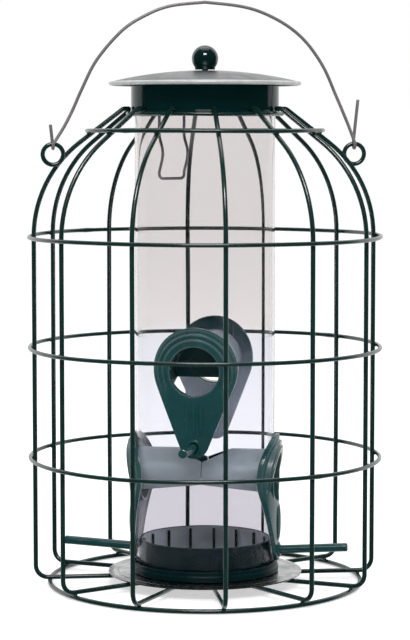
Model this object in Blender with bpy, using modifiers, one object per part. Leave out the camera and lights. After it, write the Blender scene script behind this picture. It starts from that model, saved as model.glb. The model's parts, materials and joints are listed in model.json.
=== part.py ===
"""Squirrel proof bird feeder: a welded wire cage round a clear seed tube with four moulded ports,
a lift-off lid on a neck collar, and a wire bail that swings in two ear rings.

Metres, +Z up. The origin is on the floor under the middle of the base hoop. The front port faces -Y.
An azimuth is counted from the front port, positive towards +X.
"""
import math

import bmesh
import bpy
from mathutils import Matrix, Vector

# Fits
CLEARANCE = 0.0003
OVERRUN = 0.002
WELD_DISTANCE = 0.000002

# Wire cage
RIB_COUNT = 12
RIB_WIRE = 0.0023
HOOP_WIRE = 0.0020
BASE_HOOP_WIRE = 0.0023
CAGE_RADIUS = 0.0840
BASE_HOOP_INSET = 0.0070
SPOKE_INNER_RADIUS = 0.0240
RIB_CORNER_RADIUS = 0.0060
SPRING_HEIGHT = 0.1718
LOWER_HOOP_SHARE = 0.3673
MIDDLE_HOOP_SHARE = 0.6834
DOME_BEND_SHARE = 0.6905
DOME_BEND_ANGLE = math.radians(52.5)
SHOULDER_HOOP_SHARE = 0.35
RIB_END_LEVEL = 0.0035
RIB_END_BEND_RADIUS = 0.0025
FIRST_RIB_AZIMUTH = math.radians(15)

# Ears and bail
EAR_RADIUS = 0.0050
EAR_WIRE = 0.0022
EAR_BEND_ANGLE = math.radians(39.65)
EAR_AZIMUTH = math.radians(105)
BAIL_WIRE = 0.0016
BAIL_RISE = 0.0686
LEFT_TAIL = 0.0095
RIGHT_TAIL = 0.0218
TAIL_LEAN = math.radians(6)
BAIL_SHARES = [
    (-0.930, 0.118), (-0.872, 0.236), (-0.808, 0.391), (-0.711, 0.594), (-0.546, 0.799), (-0.389, 0.909),
    (-0.232, 0.974), (-0.030, 1.000), (0.030, 1.000), (0.241, 0.975), (0.398, 0.925), (0.557, 0.833),
    (0.682, 0.714), (0.793, 0.542), (0.871, 0.355), (0.950, 0.150),
]

# Plate, cup and their screw
PLATE_MARGIN = 0.0120
PLATE_THICKNESS = 0.0007
CUP_SKIRT_WALL = 0.0013
CUP_FLARE = 0.0004
CUP_SKIRT_HEIGHT = 0.0050
CUP_FLOOR = 0.0022
CUP_COLLAR_HEIGHT = 0.0162
CUP_COLLAR_WALL = 0.0014
CUP_GROOVE_DEPTH = 0.0024
CUP_RIB_COUNT = 18
CUP_RIB_WIDTH = 0.0012
CUP_RIB_DEPTH = 0.0012
BASE_SCREW_RADIUS = 0.0020
BASE_SCREW_HEAD_RADIUS = 0.0040
BASE_SCREW_HEAD = 0.0018
BASE_NUT_RADIUS = 0.0040
BASE_NUT_HEIGHT = 0.0030
BASE_SCREW_TIP = 0.0010

# Seed tube
TUBE_RADIUS = 0.0344
TUBE_WALL = 0.0012
TUBE_RISE = 0.0084
TUBE_FIT = 0.0005

# Ports and perches
PORT_PAIR_RISE = 0.0550
PORT_CUP_GAP = 0.0004
PORT_HOLE_RADIUS = 0.0120
PORT_HEAD_RADIUS = 0.0205
PORT_HEAD_RISE = 0.0008
PORT_TAIL_RADIUS = 0.0070
PORT_TAIL_DROP = 0.0348
PORT_PLATE = 0.0022
PORT_BLOCK_SHARE = 0.50
VISOR_OUTER_RADIUS = 0.0182
VISOR_INNER_RADIUS = 0.0156
VISOR_OUTER_REACH = 0.0028
VISOR_INNER_REACH = 0.0056
VISOR_TILT = math.radians(12)
HOOD_WALL = 0.0015
HOOD_LEVEL_SHARE = 0.60
HOOD_NOTCH = 0.0058
HOOD_EDGE_DROP = 0.0062
HOOD_EDGE_RISE = 0.0034
HOOD_WEB = 0.0014
PERCH_DROP = 0.0366
PERCH_RADIUS = 0.0021
PERCH_TILT = math.radians(3.4)
PERCH_TIP_GAP = 0.0130
PERCH_SOCKET_WALL = 0.0006
BOSS_RADIUS = 0.0036
BOSS_REACH = 0.0033
TAIL_RIDGE_COUNT = 3
TAIL_RIDGE_WIDTH = 0.0010
TAIL_RIDGE_HEIGHT = 0.0005
TAIL_RIDGE_SPACING = 0.0030
TAIL_RIDGE_LENGTH = 0.0120

# Neck collar and lid
COLLAR_FIT = 0.0012
COLLAR_WALL = 0.0010
COLLAR_DROP = 0.0032
COLLAR_BEAD = 0.0005
LID_OVERHANG = 0.0104
LID_SHEET = 0.0008
LID_STAND = 0.0103
LID_RISE = 0.0053
LID_RIM_WIDTH = 0.0018
LID_RIM_HEIGHT = 0.0021
INSERT_WALL = 0.0012
INSERT_DEPTH = 0.0050
INSERT_FLOOR_DEPTH = 0.0020
KNOB_RADIUS = 0.0065
KNOB_STAND = 0.0057
KNOB_NECK_RADIUS = 0.0050
KNOB_BORE_DEPTH = 0.0070
LID_SCREW_RADIUS = 0.0015
LID_SCREW_HEAD_RADIUS = 0.0030
LID_SCREW_HEAD = 0.0015
CATCH_WIRE = 0.0015
CATCH_WIDTH = 0.0150
CATCH_DROP = 0.0355
CATCH_KNEE_DROP = 0.0230
CATCH_SHOULDER_DROP = 0.0140
CATCH_KNEE_DEPTH = 0.0028
CATCH_CORNER = 0.0022
CATCH_AZIMUTH = math.radians(-137)

# Facets
HOOP_STEPS = 48
HOOP_SIDES = 6
TURNED_STEPS = 40
WRAP_STEPS = 72
ROUND_SIDES = 24
SMALL_SIDES = 12
LID_RINGS = 5
SHARP_ANGLE = math.radians(35)

# Worked-out places
SPOKE_HEIGHT = BASE_HOOP_WIRE + CLEARANCE + RIB_WIRE / 2
PLATE_BOTTOM = SPOKE_HEIGHT + RIB_WIRE / 2 + CLEARANCE
CUP_BOTTOM = PLATE_BOTTOM + PLATE_THICKNESS + CLEARANCE
CUP_RADIUS = TUBE_RADIUS + CLEARANCE + CUP_SKIRT_WALL
PLATE_RADIUS = CUP_RADIUS + PLATE_MARGIN
BASE_HOOP_RADIUS = CAGE_RADIUS - BASE_HOOP_INSET
TUBE_INNER_RADIUS = TUBE_RADIUS - TUBE_WALL
CUP_SKIRT_TOP = CUP_BOTTOM + CUP_SKIRT_HEIGHT
TUBE_BOTTOM = CUP_SKIRT_TOP - CUP_GROOVE_DEPTH + CLEARANCE
HOOP_RADIUS = CAGE_RADIUS + RIB_WIRE / 2 + CLEARANCE + HOOP_WIRE / 2
LOWER_HOOP_HEIGHT = SPRING_HEIGHT * LOWER_HOOP_SHARE
MIDDLE_HOOP_HEIGHT = SPRING_HEIGHT * MIDDLE_HOOP_SHARE
DOME_BEND_RADIUS = CAGE_RADIUS * DOME_BEND_SHARE
DOME_CENTRE_RADIUS = CAGE_RADIUS - DOME_BEND_RADIUS
SLOPE_ANGLE = math.pi / 2 - DOME_BEND_ANGLE
SLOPE_RADIUS = DOME_CENTRE_RADIUS + DOME_BEND_RADIUS * math.cos(DOME_BEND_ANGLE)
SLOPE_HEIGHT = SPRING_HEIGHT + DOME_BEND_RADIUS * math.sin(DOME_BEND_ANGLE)
COLLAR_RADIUS = TUBE_RADIUS + COLLAR_FIT + COLLAR_WALL
RIB_MEET_RADIUS = COLLAR_RADIUS + RIB_END_LEVEL
RIB_END_HEIGHT = SLOPE_HEIGHT + (SLOPE_RADIUS - RIB_MEET_RADIUS) * math.tan(SLOPE_ANGLE)
SHOULDER_HOOP_HEIGHT = SLOPE_HEIGHT + (RIB_END_HEIGHT - SLOPE_HEIGHT) * SHOULDER_HOOP_SHARE
EAR_REACH = DOME_BEND_RADIUS + EAR_RADIUS
EAR_HEIGHT = SPRING_HEIGHT + EAR_REACH * math.sin(EAR_BEND_ANGLE)
EAR_PLACE_RADIUS = DOME_CENTRE_RADIUS + EAR_REACH * math.cos(EAR_BEND_ANGLE)
EAR_SIDE_GAP = RIB_WIRE / 2 + EAR_WIRE / 2 + CLEARANCE
EAR_SIDE_ANGLE = math.asin(EAR_SIDE_GAP / (EAR_PLACE_RADIUS - EAR_RADIUS))
BAIL_AZIMUTH = EAR_AZIMUTH + EAR_SIDE_ANGLE
BAIL_AXIS_HEIGHT = EAR_HEIGHT + EAR_RADIUS
HOOK_RADIUS = EAR_WIRE / 2 + CLEARANCE + BAIL_WIRE / 2
LOWER_PORT_HEIGHT = CUP_SKIRT_TOP + PORT_CUP_GAP + PORT_TAIL_RADIUS + PORT_TAIL_DROP
UPPER_PORT_HEIGHT = LOWER_PORT_HEIGHT + PORT_PAIR_RISE
PORT_INNER_RADIUS = TUBE_RADIUS + CLEARANCE
PORT_OUTER_RADIUS = PORT_INNER_RADIUS + PORT_PLATE
HOOD_RADIUS = PORT_HOLE_RADIUS + HOOD_WALL
TUBE_HOLE_RADIUS = HOOD_RADIUS + CLEARANCE
PERCH_REACH = CAGE_RADIUS - PERCH_TIP_GAP
TUBE_TOP = RIB_END_HEIGHT + TUBE_RISE
COLLAR_BOTTOM = RIB_END_HEIGHT - COLLAR_DROP
LID_RADIUS = COLLAR_RADIUS + LID_OVERHANG
LID_TOP = TUBE_TOP + LID_STAND
KNOB_CENTRE_HEIGHT = LID_TOP + KNOB_STAND
LID_DOME_RADIUS = LID_RADIUS - LID_RIM_WIDTH
LID_CURVE_RADIUS = (LID_DOME_RADIUS ** 2 + LID_RISE ** 2) / (2 * LID_RISE)
INSERT_RADIUS = TUBE_INNER_RADIUS - TUBE_FIT
INSERT_BOTTOM = TUBE_TOP - INSERT_DEPTH
CATCH_BOTTOM = INSERT_BOTTOM - CATCH_DROP
CATCH_KNEE_HEIGHT = INSERT_BOTTOM - CATCH_KNEE_DROP
CATCH_SHOULDER_HEIGHT = INSERT_BOTTOM - CATCH_SHOULDER_DROP
PORTS = [
    ("front", 0.0, UPPER_PORT_HEIGHT),
    ("right", math.pi / 2, LOWER_PORT_HEIGHT),
    ("back", math.pi, UPPER_PORT_HEIGHT),
    ("left", -math.pi / 2, LOWER_PORT_HEIGHT),
]


def clear_scene():
    """Removes what the scene holds."""
    for item in list(bpy.data.objects):
        bpy.data.objects.remove(item, do_unlink=True)


def make_collection(name):
    """A new collection linked to the scene."""
    collection = bpy.data.collections.new(name)
    bpy.context.scene.collection.children.link(collection)
    return collection


def make_material(name, colour, roughness, metallic=0.0, alpha=1.0):
    """A Principled material in one colour."""
    material = bpy.data.materials.new(name)
    material.use_nodes = True
    material.diffuse_color = (*colour, alpha)
    shader = material.node_tree.nodes["Principled BSDF"]
    shader.inputs["Base Color"].default_value = (*colour, 1.0)
    shader.inputs["Roughness"].default_value = roughness
    shader.inputs["Metallic"].default_value = metallic
    shader.inputs["Alpha"].default_value = alpha
    return material


def place(obj, collection):
    """Moves an object into one collection."""
    for owner in list(obj.users_collection):
        owner.objects.unlink(obj)
    collection.objects.link(obj)
    return obj


def add_mesh_object(name, mesh, collection, material=None):
    """An object for a mesh, with its own material."""
    obj = bpy.data.objects.new(name, mesh)
    if material:
        mesh.materials.clear()
        mesh.materials.append(material)
    collection.objects.link(obj)
    return obj


def settle(obj, angle=SHARP_ANGLE):
    """Turns an object's curve or modifiers into one welded, smooth-shaded mesh and keeps its place."""
    bpy.context.view_layer.update()
    evaluated = obj.evaluated_get(bpy.context.evaluated_depsgraph_get())
    mesh = bpy.data.meshes.new_from_object(evaluated)
    shape = bmesh.new()
    shape.from_mesh(mesh)
    bmesh.ops.remove_doubles(shape, verts=shape.verts, dist=WELD_DISTANCE)
    shape.to_mesh(mesh)
    shape.free()
    mesh.shade_smooth()
    mesh.set_sharp_from_angle(angle=angle)
    name, collection = obj.name, obj.users_collection[0]
    matrix, parent = obj.matrix_world.copy(), obj.parent
    bpy.data.objects.remove(obj, do_unlink=True)
    solid = bpy.data.objects.new(name, mesh)
    collection.objects.link(solid)
    solid.parent = parent
    solid.matrix_world = matrix
    return solid


def radial(radius, azimuth, height=0.0):
    """A point at a radius and azimuth."""
    return Vector((radius * math.sin(azimuth), -radius * math.cos(azimuth), height))


def turn_to(azimuth):
    """The rotation that takes +X to an azimuth."""
    return azimuth - math.pi / 2


def arc(centre, radius, start, end, count):
    """Points on an arc in a plane, from one angle to another."""
    angles = [start + (end - start) * step / count for step in range(count + 1)]
    return [(centre[0] + radius * math.cos(a), centre[1] + radius * math.sin(a)) for a in angles]


def turned(name, profile, collection, material, steps=TURNED_STEPS, closed=True):
    """A profile of (radius, height) points spun round Z; it runs down the outer side first."""
    mesh = bpy.data.meshes.new(name)
    points = [(radius, 0.0, height) for radius, height in profile]
    edges = [(i, i + 1) for i in range(len(points) - 1)]
    if closed:
        edges.append((len(points) - 1, 0))
    mesh.from_pydata(points, edges, [])
    obj = add_mesh_object(name, mesh, collection, material)
    spin = obj.modifiers.new("Spin", "SCREW")
    spin.steps = steps
    spin.render_steps = steps
    spin.use_merge_vertices = True
    spin.merge_threshold = WELD_DISTANCE
    spin.use_smooth_shade = True
    return settle(obj)


def wire(name, points, diameter, collection, material, closed=False):
    """A round wire along a list of points."""
    curve = bpy.data.curves.new(name, "CURVE")
    curve.dimensions = "3D"
    curve.bevel_depth = diameter / 2
    curve.bevel_resolution = 2
    curve.use_fill_caps = True
    spline = curve.splines.new("POLY")
    spline.points.add(len(points) - 1)
    for point, place_at in zip(spline.points, points):
        point.co = (*place_at, 1.0)
    spline.use_cyclic_u = closed
    obj = bpy.data.objects.new(name, curve)
    curve.materials.append(material)
    collection.objects.link(obj)
    return obj


def hoop(name, radius, height, diameter, collection, material, steps=HOOP_STEPS, sides=HOOP_SIDES):
    """A level wire hoop round the axis."""
    bpy.ops.mesh.primitive_torus_add(
        major_radius=radius, minor_radius=diameter / 2, major_segments=steps, minor_segments=sides
    )
    obj = place(bpy.context.active_object, collection)
    obj.name = name
    obj.location.z = height
    obj.data.materials.append(material)
    obj.data.shade_smooth()
    return obj


def rod(name, radius, start, end, collection, material=None, sides=ROUND_SIDES):
    """A cylinder between two points."""
    start, end = Vector(start), Vector(end)
    along = end - start
    bpy.ops.mesh.primitive_cylinder_add(vertices=sides, radius=radius, depth=along.length)
    obj = place(bpy.context.active_object, collection)
    obj.name = name
    obj.location = (start + end) / 2
    obj.rotation_euler = along.to_track_quat("Z", "Y").to_euler()
    if material:
        obj.data.materials.append(material)
        obj.data.shade_smooth()
        obj.data.set_sharp_from_angle(angle=SHARP_ANGLE)
    return obj


def box(name, low, high, collection):
    """A box between two corners."""
    shape = bmesh.new()
    size = Vector(high) - Vector(low)
    middle = (Vector(high) + Vector(low)) / 2
    bmesh.ops.create_cube(shape, size=1.0, matrix=Matrix.Translation(middle) @ Matrix.Diagonal((*size, 1.0)))
    mesh = bpy.data.meshes.new(name)
    shape.to_mesh(mesh)
    shape.free()
    return add_mesh_object(name, mesh, collection)


def combine(obj, tool, operation):
    """Cuts, joins or intersects an object with a tool, which becomes a hidden guide."""
    step = obj.modifiers.new(tool.name, "BOOLEAN")
    step.operation = operation
    step.solver = "EXACT"
    step.object = tool
    tool.hide_render = True
    tool.display_type = "WIRE"


def rib_points():
    """One rib in its own plane: spoke, corner, upright, dome bend, slope and the end bent in to the neck."""
    points = [(SPOKE_INNER_RADIUS, SPOKE_HEIGHT)]
    corner = (CAGE_RADIUS - RIB_CORNER_RADIUS, SPOKE_HEIGHT + RIB_CORNER_RADIUS)
    points += arc(corner, RIB_CORNER_RADIUS, -math.pi / 2, 0.0, 3)
    points += arc((DOME_CENTRE_RADIUS, SPRING_HEIGHT), DOME_BEND_RADIUS, 0.0, DOME_BEND_ANGLE, 6)
    setback = RIB_END_BEND_RADIUS * math.tan(SLOPE_ANGLE / 2)
    bend = (RIB_MEET_RADIUS - setback, RIB_END_HEIGHT - RIB_END_BEND_RADIUS)
    points += arc(bend, RIB_END_BEND_RADIUS, DOME_BEND_ANGLE, math.pi / 2, 1)
    points.append((COLLAR_RADIUS + CLEARANCE, RIB_END_HEIGHT))
    return points


def shoulder_hoop_radius():
    """The radius at which the shoulder hoop lies on the straight slope of the ribs."""
    stand_off = RIB_WIRE / 2 + CLEARANCE + HOOP_WIRE / 2
    inward = (SHOULDER_HOOP_HEIGHT - SLOPE_HEIGHT) / math.tan(SLOPE_ANGLE)
    return SLOPE_RADIUS - inward + stand_off / math.sin(SLOPE_ANGLE)


def add_cage(parts, paint):
    """The ribs, hoops and ears."""
    path = rib_points()
    for index in range(RIB_COUNT):
        azimuth = FIRST_RIB_AZIMUTH + 2 * math.pi * index / RIB_COUNT
        points = [(radius, 0.0, height) for radius, height in path]
        rib = wire(f"rib_{index + 1:02d}", points, RIB_WIRE, parts, paint)
        rib.rotation_euler.z = turn_to(azimuth)
    half = BASE_HOOP_WIRE / 2
    corner = half / math.cos(math.pi / 8)
    angles = [math.pi / 8 - 2 * math.pi * side / 8 for side in range(8)]
    section = [(BASE_HOOP_RADIUS + corner * math.cos(a), half + corner * math.sin(a)) for a in angles]
    turned("base_hoop", section, parts, paint)
    hoop("lower_hoop", HOOP_RADIUS, LOWER_HOOP_HEIGHT, HOOP_WIRE, parts, paint)
    hoop("middle_hoop", HOOP_RADIUS, MIDDLE_HOOP_HEIGHT, HOOP_WIRE, parts, paint)
    hoop("upper_hoop", HOOP_RADIUS, SPRING_HEIGHT, HOOP_WIRE, parts, paint)
    hoop("shoulder_hoop", shoulder_hoop_radius(), SHOULDER_HOOP_HEIGHT, HOOP_WIRE, parts, paint)
    neck_height = RIB_END_HEIGHT - RIB_WIRE / 2 - CLEARANCE - HOOP_WIRE / 2
    neck_radius = COLLAR_RADIUS + CLEARANCE + HOOP_WIRE / 2
    hoop("neck_hoop", neck_radius, neck_height, HOOP_WIRE, parts, paint)
    centre_radius = EAR_SIDE_GAP / math.tan(EAR_SIDE_ANGLE) + EAR_RADIUS
    for name, azimuth in (("ear_right", BAIL_AZIMUTH), ("ear_left", BAIL_AZIMUTH + math.pi)):
        ear = hoop(name, EAR_RADIUS, EAR_HEIGHT, EAR_WIRE, parts, paint, steps=20)
        ear.location = radial(centre_radius, azimuth, EAR_HEIGHT)
        ear.rotation_euler = (math.pi / 2, 0.0, turn_to(azimuth))
    return centre_radius


def smooth_path(points, steps):
    """A smooth curve through points, sampled evenly between them."""
    padded = [points[0], *points, points[-1]]
    path = []
    for index in range(1, len(padded) - 2):
        before, start, end, after = (Vector(padded[index + shift]) for shift in (-1, 0, 1, 2))
        for step in range(steps):
            t = step / steps
            path.append(
                start
                + (end - before) * (t / 2)
                + (before * 2 - start * 5 + end * 4 - after) * (t * t / 2)
                + (start * 3 - before - end * 3 + after) * (t ** 3 / 2)
            )
    path.append(Vector(points[-1]))
    return path


def hook_points(side, half_span, tail_length):
    """One bail end: a turn under the ear's top wire and a free tail, from the leg to the tail's tip."""
    round_wire = arc((0.0, 0.0), HOOK_RADIUS, math.pi, 2 * math.pi, 6)
    turn = [Vector((side * half_span, y, z)) for y, z in round_wire]
    lean = Vector((side * math.sin(TAIL_LEAN), 0.0, math.cos(TAIL_LEAN)))
    return turn + [turn[-1] + lean * tail_length]


def add_bail(parts, steel, half_span):
    """The carrying wire, with its origin on the line through the two ears."""
    pivot = bpy.data.objects.new("bail_pivot", None)
    parts.objects.link(pivot)
    pivot.location.z = BAIL_AXIS_HEIGHT
    pivot.rotation_euler.z = turn_to(BAIL_AZIMUTH)
    left = hook_points(-1, half_span, LEFT_TAIL)
    right = hook_points(1, half_span, RIGHT_TAIL)
    crown = [Vector((x * half_span, 0.0, z * BAIL_RISE)) for x, z in BAIL_SHARES]
    for end in (crown[0], crown[-1]):
        end.y = -HOOK_RADIUS / 2
    arch = smooth_path([left[0], *crown, right[0]], 2)
    points = [*reversed(left), *arch[1:-1], *right]
    bail = wire("bail_wire", points, BAIL_WIRE, parts, steel)
    bail.parent = pivot


def add_base(parts, tools, paint, galvanised, plastic, steel):
    """The plate on the spokes, the cup on the plate, and the screw and nut through both."""
    hole = BASE_SCREW_RADIUS + CLEARANCE
    plate_top = PLATE_BOTTOM + PLATE_THICKNESS
    plate = [
        (PLATE_RADIUS, plate_top),
        (PLATE_RADIUS, PLATE_BOTTOM),
        (hole, PLATE_BOTTOM),
        (hole, plate_top),
    ]
    turned("bottom_plate", plate, parts, galvanised)
    collar_top = CUP_BOTTOM + CUP_COLLAR_HEIGHT
    collar_radius = TUBE_INNER_RADIUS - TUBE_FIT
    collar_inner = collar_radius - CUP_COLLAR_WALL
    skirt_inner = TUBE_RADIUS + CLEARANCE
    groove = CUP_SKIRT_TOP - CUP_GROOVE_DEPTH
    floor = CUP_BOTTOM + CUP_FLOOR
    cup_section = [
        (CUP_RADIUS, CUP_SKIRT_TOP),
        (CUP_RADIUS + CUP_FLARE, CUP_BOTTOM),
        (hole, CUP_BOTTOM),
        (hole, floor),
        (collar_inner, floor),
        (collar_inner, collar_top),
        (collar_radius, collar_top),
        (collar_radius, groove),
        (skirt_inner, groove),
        (skirt_inner, CUP_SKIRT_TOP),
    ]
    cup = turned("base_cup", cup_section, parts, plastic)
    shape = bmesh.new()
    rib_height = CUP_COLLAR_HEIGHT - CUP_FLOOR / 2
    rib_middle = collar_inner - (CUP_RIB_DEPTH - CUP_COLLAR_WALL / 2) / 2
    block_height = rib_height - CUP_RIB_DEPTH
    size = Matrix.Diagonal((CUP_RIB_DEPTH + CUP_COLLAR_WALL / 2, CUP_RIB_WIDTH, block_height, 1.0))
    height = CUP_BOTTOM + CUP_FLOOR / 2 + block_height / 2
    for index in range(CUP_RIB_COUNT):
        turn = Matrix.Rotation(2 * math.pi * index / CUP_RIB_COUNT, 4, "Z")
        at = Matrix.Translation((rib_middle, 0.0, height))
        bmesh.ops.create_cube(shape, size=1.0, matrix=turn @ at @ size)
    mesh = bpy.data.meshes.new("cup_ribs")
    shape.to_mesh(mesh)
    shape.free()
    combine(cup, add_mesh_object("cup_ribs", mesh, tools), "UNION")
    settle(cup)
    head_bottom = PLATE_BOTTOM - CLEARANCE - BASE_SCREW_HEAD
    nut_bottom = floor + CLEARANCE
    screw = [
        (0.0, nut_bottom + BASE_NUT_HEIGHT + BASE_SCREW_TIP),
        (BASE_SCREW_RADIUS, nut_bottom + BASE_NUT_HEIGHT + BASE_SCREW_TIP),
        (BASE_SCREW_RADIUS, head_bottom + BASE_SCREW_HEAD),
        (BASE_SCREW_HEAD_RADIUS, head_bottom + BASE_SCREW_HEAD),
        (BASE_SCREW_HEAD_RADIUS, head_bottom + BASE_SCREW_HEAD / 2),
        (BASE_SCREW_RADIUS, head_bottom),
        (0.0, head_bottom),
    ]
    turned("base_screw", screw, parts, steel, steps=SMALL_SIDES, closed=False)
    nut = [
        (BASE_NUT_RADIUS, nut_bottom + BASE_NUT_HEIGHT),
        (BASE_NUT_RADIUS, nut_bottom),
        (BASE_SCREW_RADIUS + CLEARANCE, nut_bottom),
        (BASE_SCREW_RADIUS + CLEARANCE, nut_bottom + BASE_NUT_HEIGHT),
    ]
    turned("base_nut", nut, parts, steel, steps=6)


def add_tube(parts, tools, plastic):
    """The clear tube, with a round hole for each port."""
    section = [
        (TUBE_RADIUS, TUBE_TOP),
        (TUBE_RADIUS, TUBE_BOTTOM),
        (TUBE_INNER_RADIUS, TUBE_BOTTOM),
        (TUBE_INNER_RADIUS, TUBE_TOP),
    ]
    tube = turned("feed_tube", section, parts, plastic, steps=HOOP_STEPS)
    reach = TUBE_RADIUS + OVERRUN
    for name, azimuth, height in PORTS[:2]:
        ends = (radial(reach, azimuth, height), radial(-reach, azimuth, height))
        combine(tube, rod(f"tube_hole_{name}", TUBE_HOLE_RADIUS, *ends, tools), "DIFFERENCE")
    settle(tube)


def port_outline():
    """The teardrop: a large round head, straight sides and a small round tail."""
    side = math.asin((PORT_HEAD_RADIUS - PORT_TAIL_RADIUS) / (PORT_HEAD_RISE + PORT_TAIL_DROP))
    points = arc((0.0, PORT_HEAD_RISE), PORT_HEAD_RADIUS, -side, math.pi + side, 20)
    points += arc((0.0, -PORT_TAIL_DROP), PORT_TAIL_RADIUS, math.pi + side, 2 * math.pi - side, 10)
    return points


def port_prism(name, collection):
    """The teardrop as a block that reaches past the port's outer face, facing -Y."""
    depth = PORT_OUTER_RADIUS + OVERRUN - PORT_INNER_RADIUS * PORT_BLOCK_SHARE
    curve = bpy.data.curves.new(name, "CURVE")
    curve.dimensions = "2D"
    curve.fill_mode = "BOTH"
    curve.extrude = depth / 2
    spline = curve.splines.new("POLY")
    outline = port_outline()
    spline.points.add(len(outline) - 1)
    for point, (x, z) in zip(spline.points, outline):
        point.co = (x, z, 0.0, 1.0)
    spline.use_cyclic_u = True
    obj = bpy.data.objects.new(name, curve)
    collection.objects.link(obj)
    prism = settle(obj)
    stand = Matrix.Translation((0.0, depth / 2 - PORT_OUTER_RADIUS - OVERRUN, 0.0))
    prism.data.transform(stand @ Matrix.Rotation(math.pi / 2, 4, "X"))
    return prism


def add_port_pattern(parts, tools, plastic):
    """One port facing -Y with its hole's middle at the origin's height; the four ports share its mesh."""
    port = port_prism("port_pattern", parts)
    port.data.materials.append(plastic)
    top = (0.0, 0.0, PORT_HEAD_RISE + PORT_HEAD_RADIUS + OVERRUN)
    bottom = (0.0, 0.0, -PORT_TAIL_DROP - PORT_TAIL_RADIUS - OVERRUN)
    combine(port, rod("port_wrap", PORT_OUTER_RADIUS, bottom, top, tools, sides=WRAP_STEPS), "INTERSECT")
    rings = (
        ("visor_outer", VISOR_OUTER_RADIUS, TUBE_RADIUS + PORT_PLATE + VISOR_OUTER_REACH),
        ("visor_inner", VISOR_INNER_RADIUS, TUBE_RADIUS + VISOR_INNER_REACH),
    )
    for name, radius, reach in rings:
        seat_depth = math.sqrt(PORT_OUTER_RADIUS ** 2 - radius ** 2) - PORT_PLATE / 2
        ring = rod(name, radius, (0.0, -seat_depth, 0.0), (0.0, -reach - OVERRUN, 0.0), tools)
        slope = box(
            f"{name}_slope",
            (-PORT_HEAD_RADIUS, -2 * reach, -2 * PORT_HEAD_RADIUS),
            (PORT_HEAD_RADIUS, 0.0, 2 * PORT_HEAD_RADIUS),
            tools,
        )
        slope.rotation_euler.x = VISOR_TILT
        slope.location = (0.0, -reach, radius)
        combine(ring, slope, "DIFFERENCE")
        combine(port, ring, "UNION")
    perch_axis = Vector((0.0, -math.cos(PERCH_TILT), math.sin(PERCH_TILT)))
    perch_start = Vector((0.0, -TUBE_RADIUS, -PERCH_DROP))
    boss = rod("boss", BOSS_RADIUS, perch_start, perch_start + perch_axis * BOSS_REACH, tools, sides=16)
    combine(port, boss, "UNION")
    ridge_face = PORT_OUTER_RADIUS + TAIL_RIDGE_HEIGHT
    for index in range(TAIL_RIDGE_COUNT):
        middle = (index - (TAIL_RIDGE_COUNT - 1) / 2) * TAIL_RIDGE_SPACING
        ridge_top = -PERCH_DROP + BOSS_RADIUS + TAIL_RIDGE_LENGTH
        ridge = box(
            f"tail_ridge_{index}",
            (middle - TAIL_RIDGE_WIDTH / 2, -ridge_face, -PERCH_DROP),
            (middle + TAIL_RIDGE_WIDTH / 2, -PORT_INNER_RADIUS - PORT_PLATE / 2, ridge_top),
            tools,
        )
        combine(port, ridge, "UNION")
    combine(port, rod("tube_room", PORT_INNER_RADIUS, bottom, top, tools, sides=WRAP_STEPS), "DIFFERENCE")
    hood_start = PORT_INNER_RADIUS + PORT_PLATE / 2
    hood = rod("hood", HOOD_RADIUS, (0.0, -hood_start, 0.0), (0.0, -CLEARANCE / 2, 0.0), tools)
    level_end = -PORT_INNER_RADIUS * (1 - HOOD_LEVEL_SHARE)
    notch = box(
        "hood_notch",
        (-HOOD_RADIUS - OVERRUN, 0.0, 0.0),
        (HOOD_RADIUS + OVERRUN, PORT_INNER_RADIUS, HOOD_RADIUS),
        tools,
    )
    notch.rotation_euler.x = -math.atan2(HOOD_NOTCH, -level_end)
    notch.location = (0.0, level_end, HOOD_RADIUS)
    combine(hood, notch, "DIFFERENCE")
    under = box(
        "hood_mouth",
        (-HOOD_RADIUS - OVERRUN, 0.0, -2 * HOOD_RADIUS),
        (HOOD_RADIUS + OVERRUN, PORT_INNER_RADIUS + OVERRUN, 0.0),
        tools,
    )
    under.rotation_euler.x = math.atan2(HOOD_EDGE_RISE, TUBE_INNER_RADIUS)
    under.location = (0.0, -math.sqrt(TUBE_INNER_RADIUS ** 2 - HOOD_RADIUS ** 2), -HOOD_EDGE_DROP)
    combine(hood, under, "DIFFERENCE")
    combine(port, hood, "UNION")
    hole_end = TUBE_RADIUS + VISOR_INNER_REACH + OVERRUN
    for name, start, end in (
        ("port_hole", -hole_end, level_end - HOOD_WEB),
        ("hood_back", level_end, OVERRUN),
    ):
        bore = rod(name, PORT_HOLE_RADIUS, (0.0, start, 0.0), (0.0, end, 0.0), tools)
        combine(port, bore, "DIFFERENCE")
    socket_start = perch_start + perch_axis * (CLEARANCE + PERCH_SOCKET_WALL)
    socket = rod(
        "perch_socket", PERCH_RADIUS + CLEARANCE, socket_start,
        perch_start + perch_axis * (BOSS_REACH + OVERRUN), tools, sides=SMALL_SIDES,
    )
    combine(port, socket, "DIFFERENCE")
    return settle(port), socket_start, perch_axis


def add_ports(parts, tools, plastic):
    """The four ports and the perch rod in each one's boss."""
    pattern, socket_start, perch_axis = add_port_pattern(parts, tools, plastic)
    mesh = pattern.data
    bpy.data.objects.remove(pattern, do_unlink=True)
    start = socket_start + perch_axis * CLEARANCE
    reach = (PERCH_REACH + start.y) / -perch_axis.y
    for name, azimuth, height in PORTS:
        port = bpy.data.objects.new(f"port_{name}", mesh)
        parts.objects.link(port)
        port.rotation_euler.z = azimuth
        port.location.z = height
        turn = Matrix.Rotation(azimuth, 4, "Z")
        lift = Vector((0.0, 0.0, height))
        ends = (turn @ start + lift, turn @ (start + perch_axis * reach) + lift)
        rod(f"perch_{name}", PERCH_RADIUS, *ends, parts, plastic, sides=SMALL_SIDES)


def dome_height(radius):
    """The height of the lid's outer face at a radius."""
    return LID_TOP - LID_CURVE_RADIUS + math.sqrt(LID_CURVE_RADIUS ** 2 - radius ** 2)


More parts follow.
